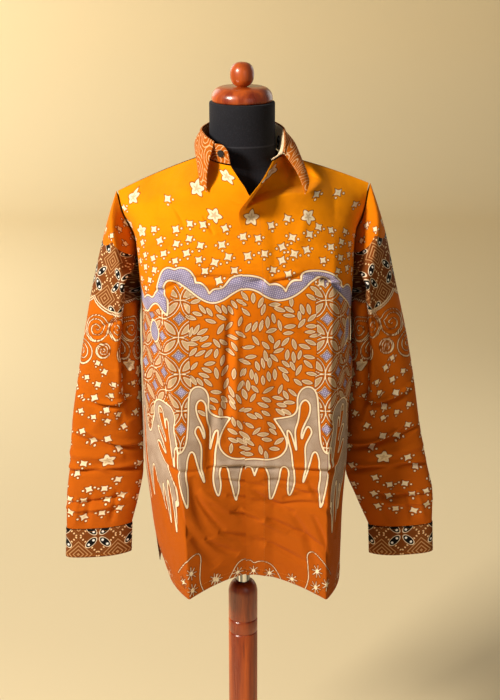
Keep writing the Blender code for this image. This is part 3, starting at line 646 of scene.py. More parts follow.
def batik_material(name, ground_stops, ground_span, motif="fields", lattice_ground=HATCHED):
    """Dyed cotton: a ground that changes down the cloth, then grey areas, grains and cream lines,
    and where the zone field is below 0 the hatched lattice with dotted ovals. The motif lattice
    covers the piece with the lattice, and the motif loops draws nested rings on the ground."""
    material, shader, shade = new_material(name, 0.78, sheen_weight=0.02, sheen_roughness=0.5,
                                           specular_ior_level=0.06)
    place = shade.node("ShaderNodeUVMap", {"uv_map": "cut"})
    u = shade.node("ShaderNodeSeparateXYZ", None, {"Vector": place}, output=0)
    t = shade.node("ShaderNodeSeparateXYZ", None, {"Vector": place}, output=1)
    cream, grain, grey, violet, zone = [
        shade.node("ShaderNodeAttribute", {"attribute_name": field}, output=2)
        for field in ("cream", "grain", "grey", "violet", "zone")]
    position = shade.node("ShaderNodeMapRange", None, {
        "Value": t, "From Min": 0.0, "From Max": ground_span})
    ground = shade.node("ShaderNodeValToRGB", {"stops": ground_stops}, {"Fac": position})
    dye = shade.node("ShaderNodeTexNoise", None, {"Vector": place, "Scale": 14.0, "Detail": 4.0})
    ground = (dye.ramp(0.40, 0.75) * 0.30).mix(ground, (0.42, 0.085, 0.003))
    # grey areas: lavender with fine white dots, or ash with a fine slanting hatch
    dot_u = (u * 290.0 + t * 90.0).maths("FRACT", u * 290.0 + t * 90.0) - 0.5
    dot_t = (t * 290.0 - u * 90.0).maths("FRACT", t * 290.0 - u * 90.0) - 0.5
    dots = (dot_u * dot_u + dot_t * dot_t).ramp(0.030, 0.075, 1.0, 0.0)
    smoke = shade.node("ShaderNodeTexNoise", None, {"Vector": place, "Scale": 30.0, "Detail": 3.0})
    cloudy = smoke.ramp(0.35, 0.65)
    lavender = (dots * 0.80).mix(cloudy.mix(LAVENDER_DARK, LAVENDER), (0.80, 0.74, 0.82))
    slant = (u * 0.8 + t) * 3300.0
    ash = (slant.maths("SINE", slant).ramp(0.0, 0.9) * 0.35).mix(cloudy.mix(ASH_DARK, ASH), CREAM)
    colour = grey.ramp(-0.0003, 0.0003, 1.0, 0.0).mix(ground, violet.ramp(0.005, 0.02).mix(ash, lavender))
    # pale grains with a hatched middle and a dark outline
    colour = (grain.ramp(0.0004, 0.0024, 1.0, 0.0) * 0.85).mix(colour, OUTLINE)
    hatch = slant.maths("SINE", slant * 0.9).ramp(-0.6, 0.9, 0.60, 1.0)
    pale = (hatch * grain.ramp(-0.0014, -0.0004, 1.0, 0.25)).mix(CREAM, (0.42, 0.24, 0.11))
    colour = grain.ramp(-0.0003, 0.0003, 1.0, 0.0).mix(colour, pale)
    # cream stars and lines with a thin dark edge and, on the stars, a darker heart
    colour = (cream.ramp(0.0003, 0.0020, 1.0, 0.0) * 0.8).mix(colour, OUTLINE)
    heart = (cream.ramp(-0.0042, -0.0024, 1.0, 0.0) * 0.8).mix(CREAM, BEIGE)
    colour = cream.ramp(-0.0003, 0.0003, 1.0, 0.0).mix(colour, heart)
    # the lattice: concentric diamonds, rows of dots and black ovals in fours
    x = (u * (1 / LATTICE) + 0.5).maths("FRACT", u * (1 / LATTICE) + 0.5) - 0.5
    y = (t * (1 / LATTICE) + 0.5).maths("FRACT", t * (1 / LATTICE) + 0.5) - 0.5
    x, y = x.maths("ABSOLUTE", x), y.maths("ABSOLUTE", y)
    diamond = 1.0 - x - y
    rings = diamond.maths("SINE", diamond * (6.2832 * LATTICE / 0.0078)).ramp(0.1, 0.9)
    rings = rings * diamond.ramp(0.44, 0.45, 1.0, 0.0)
    beads = (x - y) * (LATTICE / 0.0085)
    beads = (beads.maths("FRACT", beads) - 0.5) * (0.0085 / LATTICE)
    row = diamond - 0.53
    beads = (beads * beads + row * row * 0.5).ramp(0.0004, 0.0011, 1.0, 0.0)
    along, over = (x + y - 0.35) * 0.7071, (x - y) * 0.7071
    oval = along * along * 38.0 + over * over * 150.0
    tips = along.maths("ABSOLUTE", along) - 0.085
    tips = (tips * tips + over * over).ramp(0.0007, 0.0013, 1.0, 0.0)
    lattice = (rings * 0.70).mix(lattice_ground, (0.62, 0.34, 0.14))
    lattice = beads.mix(lattice, (0.85, 0.58, 0.30))
    lattice = oval.ramp(1.35, 1.5, 1.0, 0.0).mix(lattice, (0.80, 0.64, 0.45))
    lattice = oval.ramp(0.95, 1.1, 1.0, 0.0).mix(lattice, (0.006, 0.005, 0.006))
    lattice = tips.mix(lattice, (0.92, 0.88, 0.84))
    if motif == "loops":
        ring_a, ring_b = (u + t) * 17.0, (u - t) * 17.0
        ring_a, ring_b = ring_a.maths("FRACT", ring_a) - 0.5, ring_b.maths("FRACT", ring_b) - 0.5
        far = ring_a * ring_a + ring_b * ring_b * 0.7
        far = far.maths("SQRT", far) * 6.4 + smoke * 1.9
        far = far.maths("FRACT", far) - 0.5
        colour = (far * far).ramp(0.003, 0.020, 0.85, 0.0).mix(ground, (0.80, 0.52, 0.26))
    if motif == "lattice":
        colour = lattice
    else:
        colour = zone.ramp(-0.0003, 0.0003, 1.0, 0.0).mix(colour, lattice)
    feed(shader, "Base Color", colour)
    warp, weft = u.maths("SINE", u * 8800.0), t.maths("SINE", t * 8800.0)
    crumple = shade.node("ShaderNodeTexNoise", None, {"Vector": place, "Scale": 38.0, "Detail": 6.0})
    soft = shade.node("ShaderNodeMapping", None, {"Vector": place, "Scale": (0.55, 1.5, 1.0)})
    rumple = shade.node("ShaderNodeTexNoise", None, {
        "Vector": soft, "Scale": 15.0, "Detail": 3.0, "Distortion": 0.8})
    feed(shader, "Normal", bump(warp * 0.04 + weft * 0.04 + crumple + rumple * 2.1, 0.50, 0.0050))
    feed(shader, "Roughness", crumple.ramp(0.3, 0.7, 0.66, 0.84))
    return material


BODY_GROUND = [(0.0, (0.92, 0.30, 0.0)), (0.20, (0.86, 0.25, 0.0)), (0.32, (0.68, 0.155, 0.0)),
               (0.62, (0.56, 0.118, 0.002)), (0.80, (0.48, 0.098, 0.003)), (1.0, (0.43, 0.086, 0.003))]
batik_body = batik_material("batik_body", BODY_GROUND, HEM_DROP)

# The drawings below are in mm on the cut: across from centre front to the wearer's left, and down.
# The scalloped band under the stars, with a drop below it at each side
BAND = [
    (-330, 196), (-300, 186), (-280, 196), (-268, 214), (-268, 214), (-255, 200), (-236, 196),
    (-220, 206), (-206, 226), (-206, 226), (-190, 216), (-176, 222), (-166, 211), (-158, 190),
    (-150, 170), (-140, 163), (-128, 168), (-128, 168), (-118, 164), (-104, 169), (-96, 180),
    (-93, 191), (-93, 191), (-84, 191), (-76, 199), (-71, 210), (-71, 210), (-64, 202), (-50, 201),
    (-44, 194), (-44, 194), (-37, 185), (-26, 180), (-12, 178), (6, 180), (18, 185), (27, 194),
    (27, 194), (40, 193), (49, 198), (54, 206), (54, 206), (58, 194), (66, 187), (79, 187), (79, 187),
    (80, 176), (90, 171), (110, 170), (130, 174), (146, 186), (158, 202), (158, 202), (172, 196),
    (188, 204), (200, 222), (200, 222), (214, 206), (234, 204), (250, 214), (258, 230), (258, 230),
    (272, 208), (300, 200), (330, 206), (330, 236), (290, 232), (262, 256), (236, 234), (204, 256),
    (176, 230), (150, 214), (132, 192), (114, 180), (98, 187), (82, 205), (63, 218), (41, 223),
    (23, 216), (5, 203), (-14, 200), (-33, 210), (-48, 222), (-67, 228), (-87, 219), (-106, 203),
    (-123, 191), (-139, 186), (-147, 196), (-146, 212), (-139, 230), (-141, 248), (-141, 248),
    (-152, 240), (-164, 228), (-180, 236), (-200, 256), (-222, 240), (-250, 236), (-268, 250),
    (-300, 226), (-330, 230),
]
DROPS = [
    [(-182, 262), (-170, 264), (-162, 282), (-168, 300), (-182, 304), (-194, 288)],
    [(176, 268), (188, 262), (198, 276), (196, 304), (184, 322), (174, 300)],
]
# One half of the melting shape: its top with two humps, then its drips and flames back to the
# centre. The other half mirrors it.
MELT = [
    (-24, 504), (0, 503), (28, 506), (46, 497), (56, 478), (51, 456), (36, 431), (36, 431), (54, 428),
    (69, 424), (76, 412), (75, 392), (81, 377), (93, 371), (105, 377), (110, 394), (109, 440),
    (110, 470), (117, 486), (126, 489), (129, 470), (138, 446), (133, 428), (140, 413), (154, 405),
    (174, 403), (190, 412), (200, 436), (208, 470), (222, 476), (234, 456), (240, 424), (254, 408),
    (272, 410), (284, 436), (294, 470), (330, 476), (330, 552), (306, 548), (300, 590), (296, 612),
    (290, 584), (286, 548), (276, 530), (268, 548), (264, 588), (258, 622), (252, 588), (250, 540),
    (256, 500), (262, 460), (258, 440), (250, 448), (246, 480), (238, 520), (230, 560), (224, 604),
    (218, 572), (212, 540), (204, 528), (196, 546), (188, 592), (182, 612), (178, 580), (174, 548),
    (170, 582), (163, 634), (160, 590), (161, 556), (157, 540), (151, 570), (149, 610), (146, 641),
    (143, 606), (142, 572), (139, 592), (139, 560), (142, 544), (148, 530), (158, 516), (170, 504),
    (182, 490), (186, 480), (178, 480), (166, 490), (156, 498), (160, 486), (172, 476), (186, 464),
    (191, 455), (182, 457), (170, 466), (158, 478), (160, 466), (168, 452), (176, 436), (180, 422),
    (173, 413), (165, 420), (161, 438), (156, 454), (159, 440), (155, 430), (150, 438), (148, 454),
    (144, 474), (140, 496), (135, 520), (134, 500), (133, 482), (128, 477), (125, 486), (127, 508),
    (127, 530), (125, 552), (121, 572), (116, 590), (113, 566), (112, 548), (114, 532), (111, 516),
    (109, 500), (104, 486), (97, 488), (93, 508), (89, 528), (83, 548), (84, 530), (87, 518),
    (85, 500), (84, 478), (91, 464), (98, 451), (91, 440), (84, 452), (79, 468), (79, 454), (85, 440),
    (94, 424), (98, 406), (90, 394), (80, 402), (78, 420), (75, 436), (69, 450), (69, 470), (70, 490),
    (66, 472), (62, 454), (56, 449), (56, 466), (61, 488), (63, 512), (68, 534), (68, 554), (61, 575),
    (57, 560), (56, 545), (58, 530), (54, 519), (47, 516), (42, 524), (41, 540), (37, 556), (34, 570),
    (28, 587), (26, 572), (24, 556), (24, 540), (20, 524), (13, 517), (5, 520), (0, 535), (0, 535),
    (-5, 520), (-24, 520),
]
HEM_LINES = [
    [(-48, 742), (-38, 728), (-28, 710), (-18, 703), (-8, 703), (-2, 711), (6, 705), (20, 704),
     (34, 714), (44, 730), (50, 742)],
    [(150, 702), (137, 690), (116, 673), (99, 667), (90, 674), (95, 699), (98, 718), (91, 742)],
    [(178, 742), (184, 716), (200, 700), (220, 706), (236, 690), (262, 700), (280, 690), (300, 700)],
]
HEM_STARS = [(-26, 727), (-3, 726), (26, 728), (112, 697), (113, 724), (134, 712), (-70, 724), (66, 727),
             (205, 722), (240, 712), (262, 724)]
SIDE_COLUMN = 0.104  # the petals start this far from the centre front


def front_print(u, t):
    """The distance fields of a front or back, for places on its cut in metres."""
    rng = np.random.default_rng(12)
    half = np.abs(u + 0.0022 * np.sin(t / 0.031 + u / 0.06) * np.clip(np.abs(u) / 0.03, 0, 1))
    band = outline_field(u, t, rounded_outline(BAND))
    for drop in DROPS:
        band = np.minimum(band, outline_field(u, t, rounded_outline(drop)))
    melt = outline_field(half, t, rounded_outline(MELT))
    melt_top = smooth(np.clip(half, 0, 0.33), np.array([0, 46, 56, 70, 80, 110, 117, 126, 135, 155, 190,
                                                         208, 234, 254, 272, 294, 330]) * MM,
                      np.array([503, 497, 428, 424, 377, 377, 486, 486, 430, 405, 412, 470, 456, 408,
                                410, 470, 476]) * MM)
    band_low = smooth(np.clip(u, -0.33, 0.33), np.array([-330, -200, -141, -123, -106, -67, -14, 41, 82,
                                                          114, 150, 204, 330]) * MM,
                      np.array([230, 256, 230, 192, 203, 228, 201, 223, 205, 180, 214, 256, 236]) * MM)
    grey = np.minimum(band, melt)
    cream = np.minimum(line_field(band), line_field(melt))

    # star flowers: large and sparse on the shoulders, dense above the band
    def crowd(x, y):
        return 0.002 + 0.95 * float(np.clip((y - 0.075) / 0.075, 0, 1)) ** 2
    centres = scattered(rng, (-0.29, 0.02), (0.29, 0.24), 0.0215, crowd, tries=60)
    few = scattered(rng, (-0.28, 0.015), (0.28, 0.13), 0.050)
    few = np.array([spot for spot in few if all(math.hypot(*(spot - other)) > 0.03 for other in centres)])
    centres = np.concatenate([centres, few.reshape(-1, 2)])
    free = outline_field(centres[:, 0], centres[:, 1], rounded_outline(BAND), margin=0.03)
    low = smooth(np.clip(centres[:, 0], -0.33, 0.33), np.array([-330, 0, 330]) * MM, [0.21, 0.18, 0.21])
    centres = centres[(free > 0.0085) & (centres[:, 1] < low + 0.018)]
    stars = [(x, y, 0.0074 if y < 0.10 and index % 3 == 0 else rng.uniform(0.0054, 0.0064),
              rng.uniform(-0.35, 0.35)) for index, (x, y) in enumerate(centres)]
    cream = np.minimum(cream, star_field(u, t, stars))

    # grains between the band and the melting shape
    centres = scattered(rng, (-0.104, 0.185), (0.104, 0.52), 0.0100, tries=90)
    clear = outline_field(centres[:, 0], centres[:, 1], rounded_outline(BAND), margin=0.03)
    clear = np.minimum(clear, outline_field(np.abs(centres[:, 0]), centres[:, 1], rounded_outline(MELT),
                                            margin=0.03))
    low = smooth(centres[:, 0], np.array([-110, -67, -14, 41, 110]) * MM,
                 np.array([203, 228, 201, 223, 180]) * MM)
    centres = centres[(clear > 0.0060) & (centres[:, 1] > low - 0.002)
                      & ~((np.abs(centres[:, 0]) > 0.060) & (centres[:, 1] > 0.44))]
    grain = grain_field(u, t, settled_grains(rng, centres, (0.0088, 0.0108), (0.0030, 0.0037)))

    # petals in the side columns, with a diamond between each four
    column = np.maximum(np.maximum(SIDE_COLUMN - half, band_low - 0.004 - t), t - melt_top - 0.02)
    column = np.maximum(column, -np.minimum(band, melt) + 0.0012)
    petals = kawung_field(half, t)
    grain = np.minimum(grain, np.maximum(petals + 0.0042, column))
    diamonds = np.maximum(0.0062 - petals, column)
    grey = np.minimum(grey, diamonds)
    cream = np.minimum(cream, np.maximum(line_field(petals, 0.0007), column))
    cream = np.minimum(cream, np.maximum(line_field(diamonds, 0.0005), column))

    # thin arcs and eight-ray stars at the hem
    for line in HEM_LINES:
        cream = np.minimum(cream, outline_field(half if line[0][0] > 0 else u, t,
                                                rounded_outline(line, False), False) - 0.0007)
    for x, y in np.array(HEM_STARS) * MM:
        across = half if x > 0.06 else u
        near = (np.abs(across - x) < 0.014) & (np.abs(t - y) < 0.014)
        radius = np.hypot(across[near] - x, t[near] - y)
        turn = np.arctan2(t[near] - y, across[near] - x)
        ray = np.maximum(radius * np.abs(np.sin(((turn + math.pi / 8) % (math.pi / 4)) - math.pi / 8))
                         - 0.0006, radius - 0.0105)
        cream[near] = np.minimum(cream[near], np.minimum(ray, radius - 0.0030))
    violet = ((band < 0.003) | (diamonds < 0.003)).astype(float)
    return {"cream": cream, "grain": grain, "grey": grey, "violet": violet,
            "zone": np.full(u.shape, FAR)}


# ---------------------------------------------------------------------------------------------
# The two fronts and the fly. Each front is one panel from shoulder to a turned hem. The left one
# laps over the right one with a concealed fly, and rolls forward at the open neck.
# ---------------------------------------------------------------------------------------------
LAP_OUT, FLY_OUT, UNDERLAP_IN = 0.0034, 0.0010, 0.0012
LAP_SHARE, LAP_FADE = 0.16, 0.10
EDGE_DROPS = (0, 25, 45, 80, 115, 185, HEM_DROP / MM)
RIGHT_EDGE = (-0.060, -0.058, -0.036, 0.045, 0.074, 0.077, 0.077)
LEFT_EDGE = (0.167, 0.082, -0.012, -0.094, -0.088, -0.074, -0.070)
ROLL_OUT, ROLL_WIDTH, ROLL_DROP, ROLL_REACH = 0.043, 0.060, 0.050, 0.030
# behind the roll the cloth falls in: how deep, and how far down, by distance from the edge (mm)
HOLLOW_DEPTH, HOLLOW_SOFT = 0.036, 0.008
HOLLOW_AT, HOLLOW_DOWN = (0, 26, 45, 60, 84, 120), (74, 60, 52, 46, 42, 24)
SEAM_SHARE, SEAM_DROP = 0.0016, 0.0011
PLACKET = 0.0165  # half the width of the lap
# start u, t | end u, t | depth | half width | bow (mm)
FRONT_CREASES = [
    (-14, 190, 20, 190, -7, 5, 0), (28, 191, 84, 177, -5, 3.5, 2), (84, 177, 152, 202, -6, 4, -4),
    (28, 184, 84, 170, 3, 5, 2), (112, 186, 154, 206, -9, 6, -3), (-168, 208, -118, 193, -8, 5, 2),
    (-156, 214, -108, 234, -7, 5, 3), (-104, 184, -20, 186, -4, 4, -2), (-110, 193, -15, 195, 3, 6, 0),
    (-160, 200, -125, 204, 6, 5, 0), (120, 196, 156, 190, 5, 5, 0), (20, 198, 90, 192, 3, 6, 0),
    (-78, 520, 62, 524, -6, 3.5, 0), (58, 524, 160, 519, -6, 3.5, 0), (-78, 512, 60, 515, 4, 5, 0),
    (55, 515, 158, 510, 4, 5, 0), (-170, 516, -80, 524, -4, 4, 2), (-62, 540, 22, 557, -5.2, 4.8, 2),
    (10, 546, 92, 553, -4.5, 4.8, -3), (-44, 572, 40, 592, -4.5, 5.6, 3),
    (48, 578, 132, 562, -3.9, 6.4, -3), (-104, 530, -72, 650, -6, 11, 7),
    (-92, 556, -30, 604, 5.2, 8, 3), (-120, 600, -60, 700, -5.2, 9.6, 6),
    (60, 600, 112, 700, -5.2, 8.8, -7), (20, 618, 84, 640, -5.2, 6.4, 3),
    (-60, 640, 20, 668, -6, 7.2, 4), (-10, 560, 70, 604, -6, 5.6, 5), (40, 548, 96, 566, -4.5, 4, 3),
    (-40, 604, 16, 622, -4.9, 4, 3), (30, 596, 130, 580, -5.2, 4.8, -5),
    (-20, 600, 60, 640, 4.5, 5.6, 5), (-84, 646, -24, 690, -5.6, 5.6, 4),
    (64, 636, 138, 668, -5.2, 6.4, -4), (10, 660, 96, 690, -4.5, 5.6, 4),
    (90, 540, 142, 600, -5.2, 6.4, 4), (-140, 540, -112, 640, -6.1, 6.4, 4),
    (-52, 300, 24, 330, -2.2, 7, 4), (16, 380, 96, 400, -2.2, 8, -4), (-96, 300, -50, 330, -2, 7, -3),
    (60, 250, 120, 300, -2.4, 8, 4), (-20, 60, 60, 90, -1.5, 7, 3), (-150, 350, -120, 470, -2.5, 9, 5),
    (-34, 222, -42, 480, -8, 8, 4), (-22, 240, -28, 450, 4, 8, 3), (-64, 400, -70, 560, -6, 9, 4),
    (-96, 566, -48, 640, -5.2, 4.8, 4), (100, 600, 140, 690, -4.5, 5.6, -4),
    (40, 330, 120, 352, -1.5, 9, -4), (-100, 400, -30, 424, -1.5, 9, 4),
    (40, 440, 130, 424, -1.5, 9, 4), (-118, 60, -106, 106, -2.5, 3, 1),
    (-74, 80, -62, 112, -3.5, 2.5, 1), (96, 62, 66, 150, 2, 9, -3), (-188, 300, -160, 350, -5, 9, 5),
    (190, 300, 160, 350, -5, 9, -5), (-200, 430, -160, 480, -4, 10, 6),
    (196, 430, 160, 480, -4, 10, -6), (-196, 560, -166, 640, -4, 9, 4), (190, 560, 164, 650, -4, 9, -4),
    (-232, 320, -205, 420, 5, 14, 6), (232, 320, 205, 430, 5, 14, -6), (-60, 110, 10, 128, -1.6, 7, 3),
    (30, 140, 110, 128, -1.6, 8, -3), (-120, 128, -60, 144, -1.6, 8, 2),
]


def cloth_distance(grid):
    """Running length along each row of a grid, from its first column."""
    steps = np.linalg.norm(np.diff(grid, axis=1), axis=-1)
    return np.concatenate([np.zeros((len(grid), 1)), np.cumsum(steps, axis=1)], axis=1)


def front_sheet(left, across, down, out, fade_out=True):
    """A front panel: the shares run from its free edge to its side seam. Returns its points and
    its places on the cut."""
    edge = smooth(down, np.array(EDGE_DROPS) * MM, LEFT_EDGE if left else RIGHT_EDGE)[:, None]
    shares = edge + ((1 if left else -1) - edge) * across
    drops = np.repeat(down[:, None], across.size, axis=1)
    grid = rounded_body(shares, drops)
    u = (cloth_distance(grid) - PLACKET) * (1 if left else -1)
    inward = np.abs(shares - edge)
    lap = np.clip(1 - (inward - LAP_SHARE) / LAP_FADE, 0, 1) if fade_out else np.ones(inward.shape)
    grid += outward(grid) * (out * lap * lap * (3 - 2 * lap))[..., None]
    if left:
        roll = np.exp(-((inward / ROLL_WIDTH) ** 2) - ((drops - ROLL_DROP) / ROLL_REACH) ** 2)
        away = u + PLACKET
        floor = smooth(np.clip(away, 0, 0.12), np.array(HOLLOW_AT) * MM, np.array(HOLLOW_DOWN) * MM)
        fallen = np.clip((floor - drops) / HOLLOW_SOFT + 0.5, 0, 1) * np.clip((away - 0.005) / 0.009, 0, 1)
        fallen *= np.clip(drops / 0.022, 0, 1) * np.clip((0.125 - away) / 0.040, 0, 1)
        grid[..., 1] += HOLLOW_DEPTH * fallen * fallen * (3 - 2 * fallen) - ROLL_OUT * roll
    return grid, u, drops


thread, shader, shade = new_material("thread", 0.7, specular_ior_level=0.2)
place = shade.node("ShaderNodeTexCoord", output=3)
twist = shade.node("ShaderNodeTexNoise", None, {"Vector": place, "Scale": 900.0, "Detail": 2.0})
feed(shader, "Base Color", twist.mix((0.48, 0.14, 0.010), (0.66, 0.24, 0.030)))


def sewing_tree():
    """A node tree that lays a bead of thread on every step along a line."""
    tree = bpy.data.node_groups.new("sewing", "GeometryNodeTree")
    for label, kind, way in (("Geometry", "Geometry", "INPUT"), ("Step", "Float", "INPUT"),
                             ("Length", "Float", "INPUT"), ("Thickness", "Float", "INPUT"),
                             ("Geometry", "Geometry", "OUTPUT")):
        tree.interface.new_socket(label, in_out=way, socket_type=f"NodeSocket{kind}")
    nodes, link = tree.nodes, tree.links.new
    given, result = nodes.new("NodeGroupInput"), nodes.new("NodeGroupOutput")
    curve, steps = nodes.new("GeometryNodeMeshToCurve"), nodes.new("GeometryNodeResampleCurve")
    steps.mode = "LENGTH"
    bead, shape = nodes.new("GeometryNodeMeshUVSphere"), nodes.new("GeometryNodeTransform")
    bead.inputs["Segments"].default_value, bead.inputs["Rings"].default_value = 5, 4
    bead.inputs["Radius"].default_value = 0.5
    size = nodes.new("ShaderNodeCombineXYZ")
    along, lie = nodes.new("GeometryNodeInputTangent"), nodes.new("FunctionNodeAlignRotationToVector")
    lie.axis = "Z"
    place, real = nodes.new("GeometryNodeInstanceOnPoints"), nodes.new("GeometryNodeRealizeInstances")
    paint = nodes.new("GeometryNodeSetMaterial")
    paint.inputs["Material"].default_value = thread
    link(given.outputs["Geometry"], curve.inputs["Mesh"])
    link(curve.outputs["Curve"], steps.inputs["Curve"])
    link(given.outputs["Step"], steps.inputs["Length"])
    for axis, label in (("X", "Thickness"), ("Y", "Thickness"), ("Z", "Length")):
        link(given.outputs[label], size.inputs[axis])
    link(bead.outputs["Mesh"], shape.inputs["Geometry"])
    link(size.outputs["Vector"], shape.inputs["Scale"])
    link(along.outputs["Tangent"], lie.inputs["Vector"])
    link(steps.outputs["Curve"], place.inputs["Points"])
    link(shape.outputs["Geometry"], place.inputs["Instance"])
    link(lie.outputs["Rotation"], place.inputs["Rotation"])
    link(place.outputs["Instances"], real.inputs["Geometry"])
    link(real.outputs["Geometry"], paint.inputs["Geometry"])
    link(paint.outputs["Geometry"], result.inputs["Geometry"])
    return tree


SEWING = sewing_tree()
STITCH = {"Step": 0.0032, "Length": 0.0023, "Thickness": 0.0007}


def sew(name, lines):
    """Rows of stitches along lines of points, as one plain mesh."""
    edges, start = [], 0
    for line in lines:
        edges += [(k, k + 1) for k in range(start, start + len(line) - 1)]
        start += len(line)
    mesh = bpy.data.meshes.new(f"{name}_line")
    mesh.from_pydata([tuple(map(float, point)) for point in np.concatenate(lines)], edges, [])
    guide = bpy.data.objects.new(f"{name}_line", mesh)
    scene.collection.objects.link(guide)
    sewing = guide.modifiers.new("Sewing", "NODES")
    sewing.node_group = SEWING
    for item in SEWING.interface.items_tree:
        if item.in_out == "INPUT" and item.name in STITCH:
            sewing[item.identifier] = STITCH[item.name]
    beads = bpy.data.meshes.new_from_object(guide.evaluated_get(bpy.context.evaluated_depsgraph_get()))
    bpy.data.objects.remove(guide)
    beads.shade_smooth()
    seam = bpy.data.objects.new(name, beads)
    scene.collection.objects.link(seam)
    place_piece(seam)
    return seam


def line_at(grid, measure, level):
    """The line over a grid, one point for each of its rows, where the measure has that level."""
    points = []
    for row, values in zip(grid, measure):
        order = np.argsort(values)
        points.append([np.interp(level, values[order], row[order, k]) for k in range(3)])
    return np.array(points)


def creased_front(grid, u, t, across, down):
    """A front's points moved along their normals by its creases, less near its edges."""
    fade = np.clip((1 - across) / SIDE_FADE, 0, 1) * np.clip(across / EDGE_FADE, EDGE_CREASED, 1)
    fade = fade * np.clip(down / TOP_FADE, 0, 1)[:, None]
    return grid + outward(grid) * (creases(u, t, FRONT_CREASES) * fade)[..., None]


HEM_FOLD, THREAD_OUT = 0.012, 0.0002
EDGE_FADE, EDGE_CREASED = 0.12, 0.35  # at its free edge a front keeps this share of its creases
down = np.linspace(SEAM_DROP, HEM_DROP, 450)
across = np.linspace(0.0, 1.0 - SEAM_SHARE, 182)
fronts, seams = {}, {}
for side, out in (("right", -UNDERLAP_IN), ("left", LAP_OUT)):
    left = side == "left"
    grid, u, t = front_sheet(left, across, down, out)
    grid = creased_front(grid, u, t, across, down)
    proud = grid + outward(grid) * THREAD_OUT
    hem = line_at(proud.transpose(1, 0, 2), t.T, HEM_DROP - HEM_FOLD)
    rows = [hem if left else hem[20:]]
    if left:
        rows.append(line_at(proud[45:], u[45:], PLACKET))
    seams[side] = sew(f"front_{side}_stitches", rows)
    fields = front_print(u, t)
    grid, u, t, *values = turned_under(grid, u, t, *fields.values())
    piece = add_cloth(f"front_{side}_cloth", grid, u, t, dict(zip(fields, values)), batik_body)
    place_piece(piece, f"front_{side}")
    fronts[side] = piece

fly_down = np.linspace(0.031, 0.705, 240)
fly_across = np.linspace(0.004, 0.138, 24)
grid, u, t = front_sheet(True, fly_across, fly_down, FLY_OUT, fade_out=False)
grid = creased_front(grid, u, t, fly_across, fly_down)
fly = add_cloth("fly_cloth", grid, u, t, front_print(u, t), batik_body, thickness=0.0008)
place_piece(fly, "fly_left")

# ---------------------------------------------------------------------------------------------
# The back: one panel without a yoke, in the same print, hanging from the shoulder seams.
# ---------------------------------------------------------------------------------------------
BACK_CREASES = [
    (-150, 186, 10, 192, -2.6, 6, 2), (-10, 191, 150, 187, -2.6, 6, -3), (-175, 516, 10, 520, 3.0, 7, 2),
    (-10, 521, 158, 514, 2.8, 7, -2), (-160, 533, 150, 533, -2.4, 10, 3), (-215, 90, -186, 235, -8.0, 12, 6),
    (212, 90, 186, 235, -8.0, 12, -6), (-60, 60, -90, 170, -1.8, 14, 5), (55, 55, 92, 165, -1.8, 14, -5),
    (-120, 560, -60, 700, 2.0, 14, 7), (60, 570, 120, 700, -2.0, 14, -7), (-20, 580, 20, 710, 1.6, 16, 6),
    (-240, 280, -190, 340, -4.0, 14, 5), (235, 290, 190, 350, -4.0, 14, -5), (0, 240, 6, 480, -1.2, 20, 4),
]
down = np.linspace(SEAM_DROP, HEM_DROP, 310)
shares = np.linspace(-1 + SEAM_SHARE, 1 - SEAM_SHARE, 250)
grid = rounded_body(*np.broadcast_arrays(shares[None, :], down[:, None]), back=True)
u = cloth_distance(grid)
u = u - u[:, 124:126].mean(axis=1, keepdims=True)
t = np.repeat(down[:, None], shares.size, axis=1)
fade = np.clip((1 - np.abs(shares)) / SIDE_FADE, 0, 1) * np.clip(down / TOP_FADE, 0, 1)[:, None]
grid = grid + outward(grid) * (creases(u, t, BACK_CREASES) * fade)[..., None]
hem = line_at((grid + outward(grid) * THREAD_OUT).transpose(1, 0, 2), t.T, HEM_DROP - HEM_FOLD)
back_stitches = sew("back_stitches", [hem])
fields = front_print(-u, t)
grid, u, t, *values = turned_under(grid, u, t, *fields.values())
back = add_cloth("back_cloth", grid, u, t, dict(zip(fields, values)), batik_body)
place_piece(back, "back")

# ---------------------------------------------------------------------------------------------
# The sleeves: long tubes set into the armholes, flattened towards the wrist. Each has stars at the
# head, a hatched zone with dotted ovals, a zone of spirals, then plain cloth with stars.
# ---------------------------------------------------------------------------------------------
# outer x, z | inner x, z | y of the middle | half depth (mm)
SLEEVE_SECTIONS = {
    "right": [
        [-222, 1330, -178, 1138, 2, 79], [-234, 1290, -179, 1105, 5, 74],
        [-256, 1205, -180, 1050, 10, 64], [-276, 1110, -180.5, 985, 18, 55],
        [-293, 1018, -180.5, 925, 24, 46], [-306, 937, -180.5, 880, 24, 36],
        [-314, 850, -181, 842, 17, 28], [-320, 795, -190, 795, 7, 23],
        [-322, 738, -203, 746, 0, 18],
    ],
    "left": [
        [231, 1330, 188.5, 1138, 2, 79], [243, 1290, 189.5, 1105, 5, 74],
        [263, 1205, 190.5, 1050, 10, 64], [286, 1110, 190.5, 985, 18, 55],
        [304, 1018, 189.5, 925, 24, 46], [317, 937, 188.5, 880, 24, 36],
        [333, 858, 186.5, 846, 17, 28], [345, 800, 206, 795, 7, 23],
        [345, 750, 230, 742, 0, 18],
    ],
}
SLEEVE_OFF = (0.0024, -0.0008)
SLEEVE_HOLLOW, SLEEVE_SQUARE = 1.7, 0.58  # fallen in at the front beside the body, square elsewhere
SLEEVE_SIDES, SLEEVE_ROWS = 192, 310
PRINT_ROUND = 0.82  # metres of print to each metre round the sleeve
SLEEVE_FADES = 30  # creases fade out over one part in this many at each end
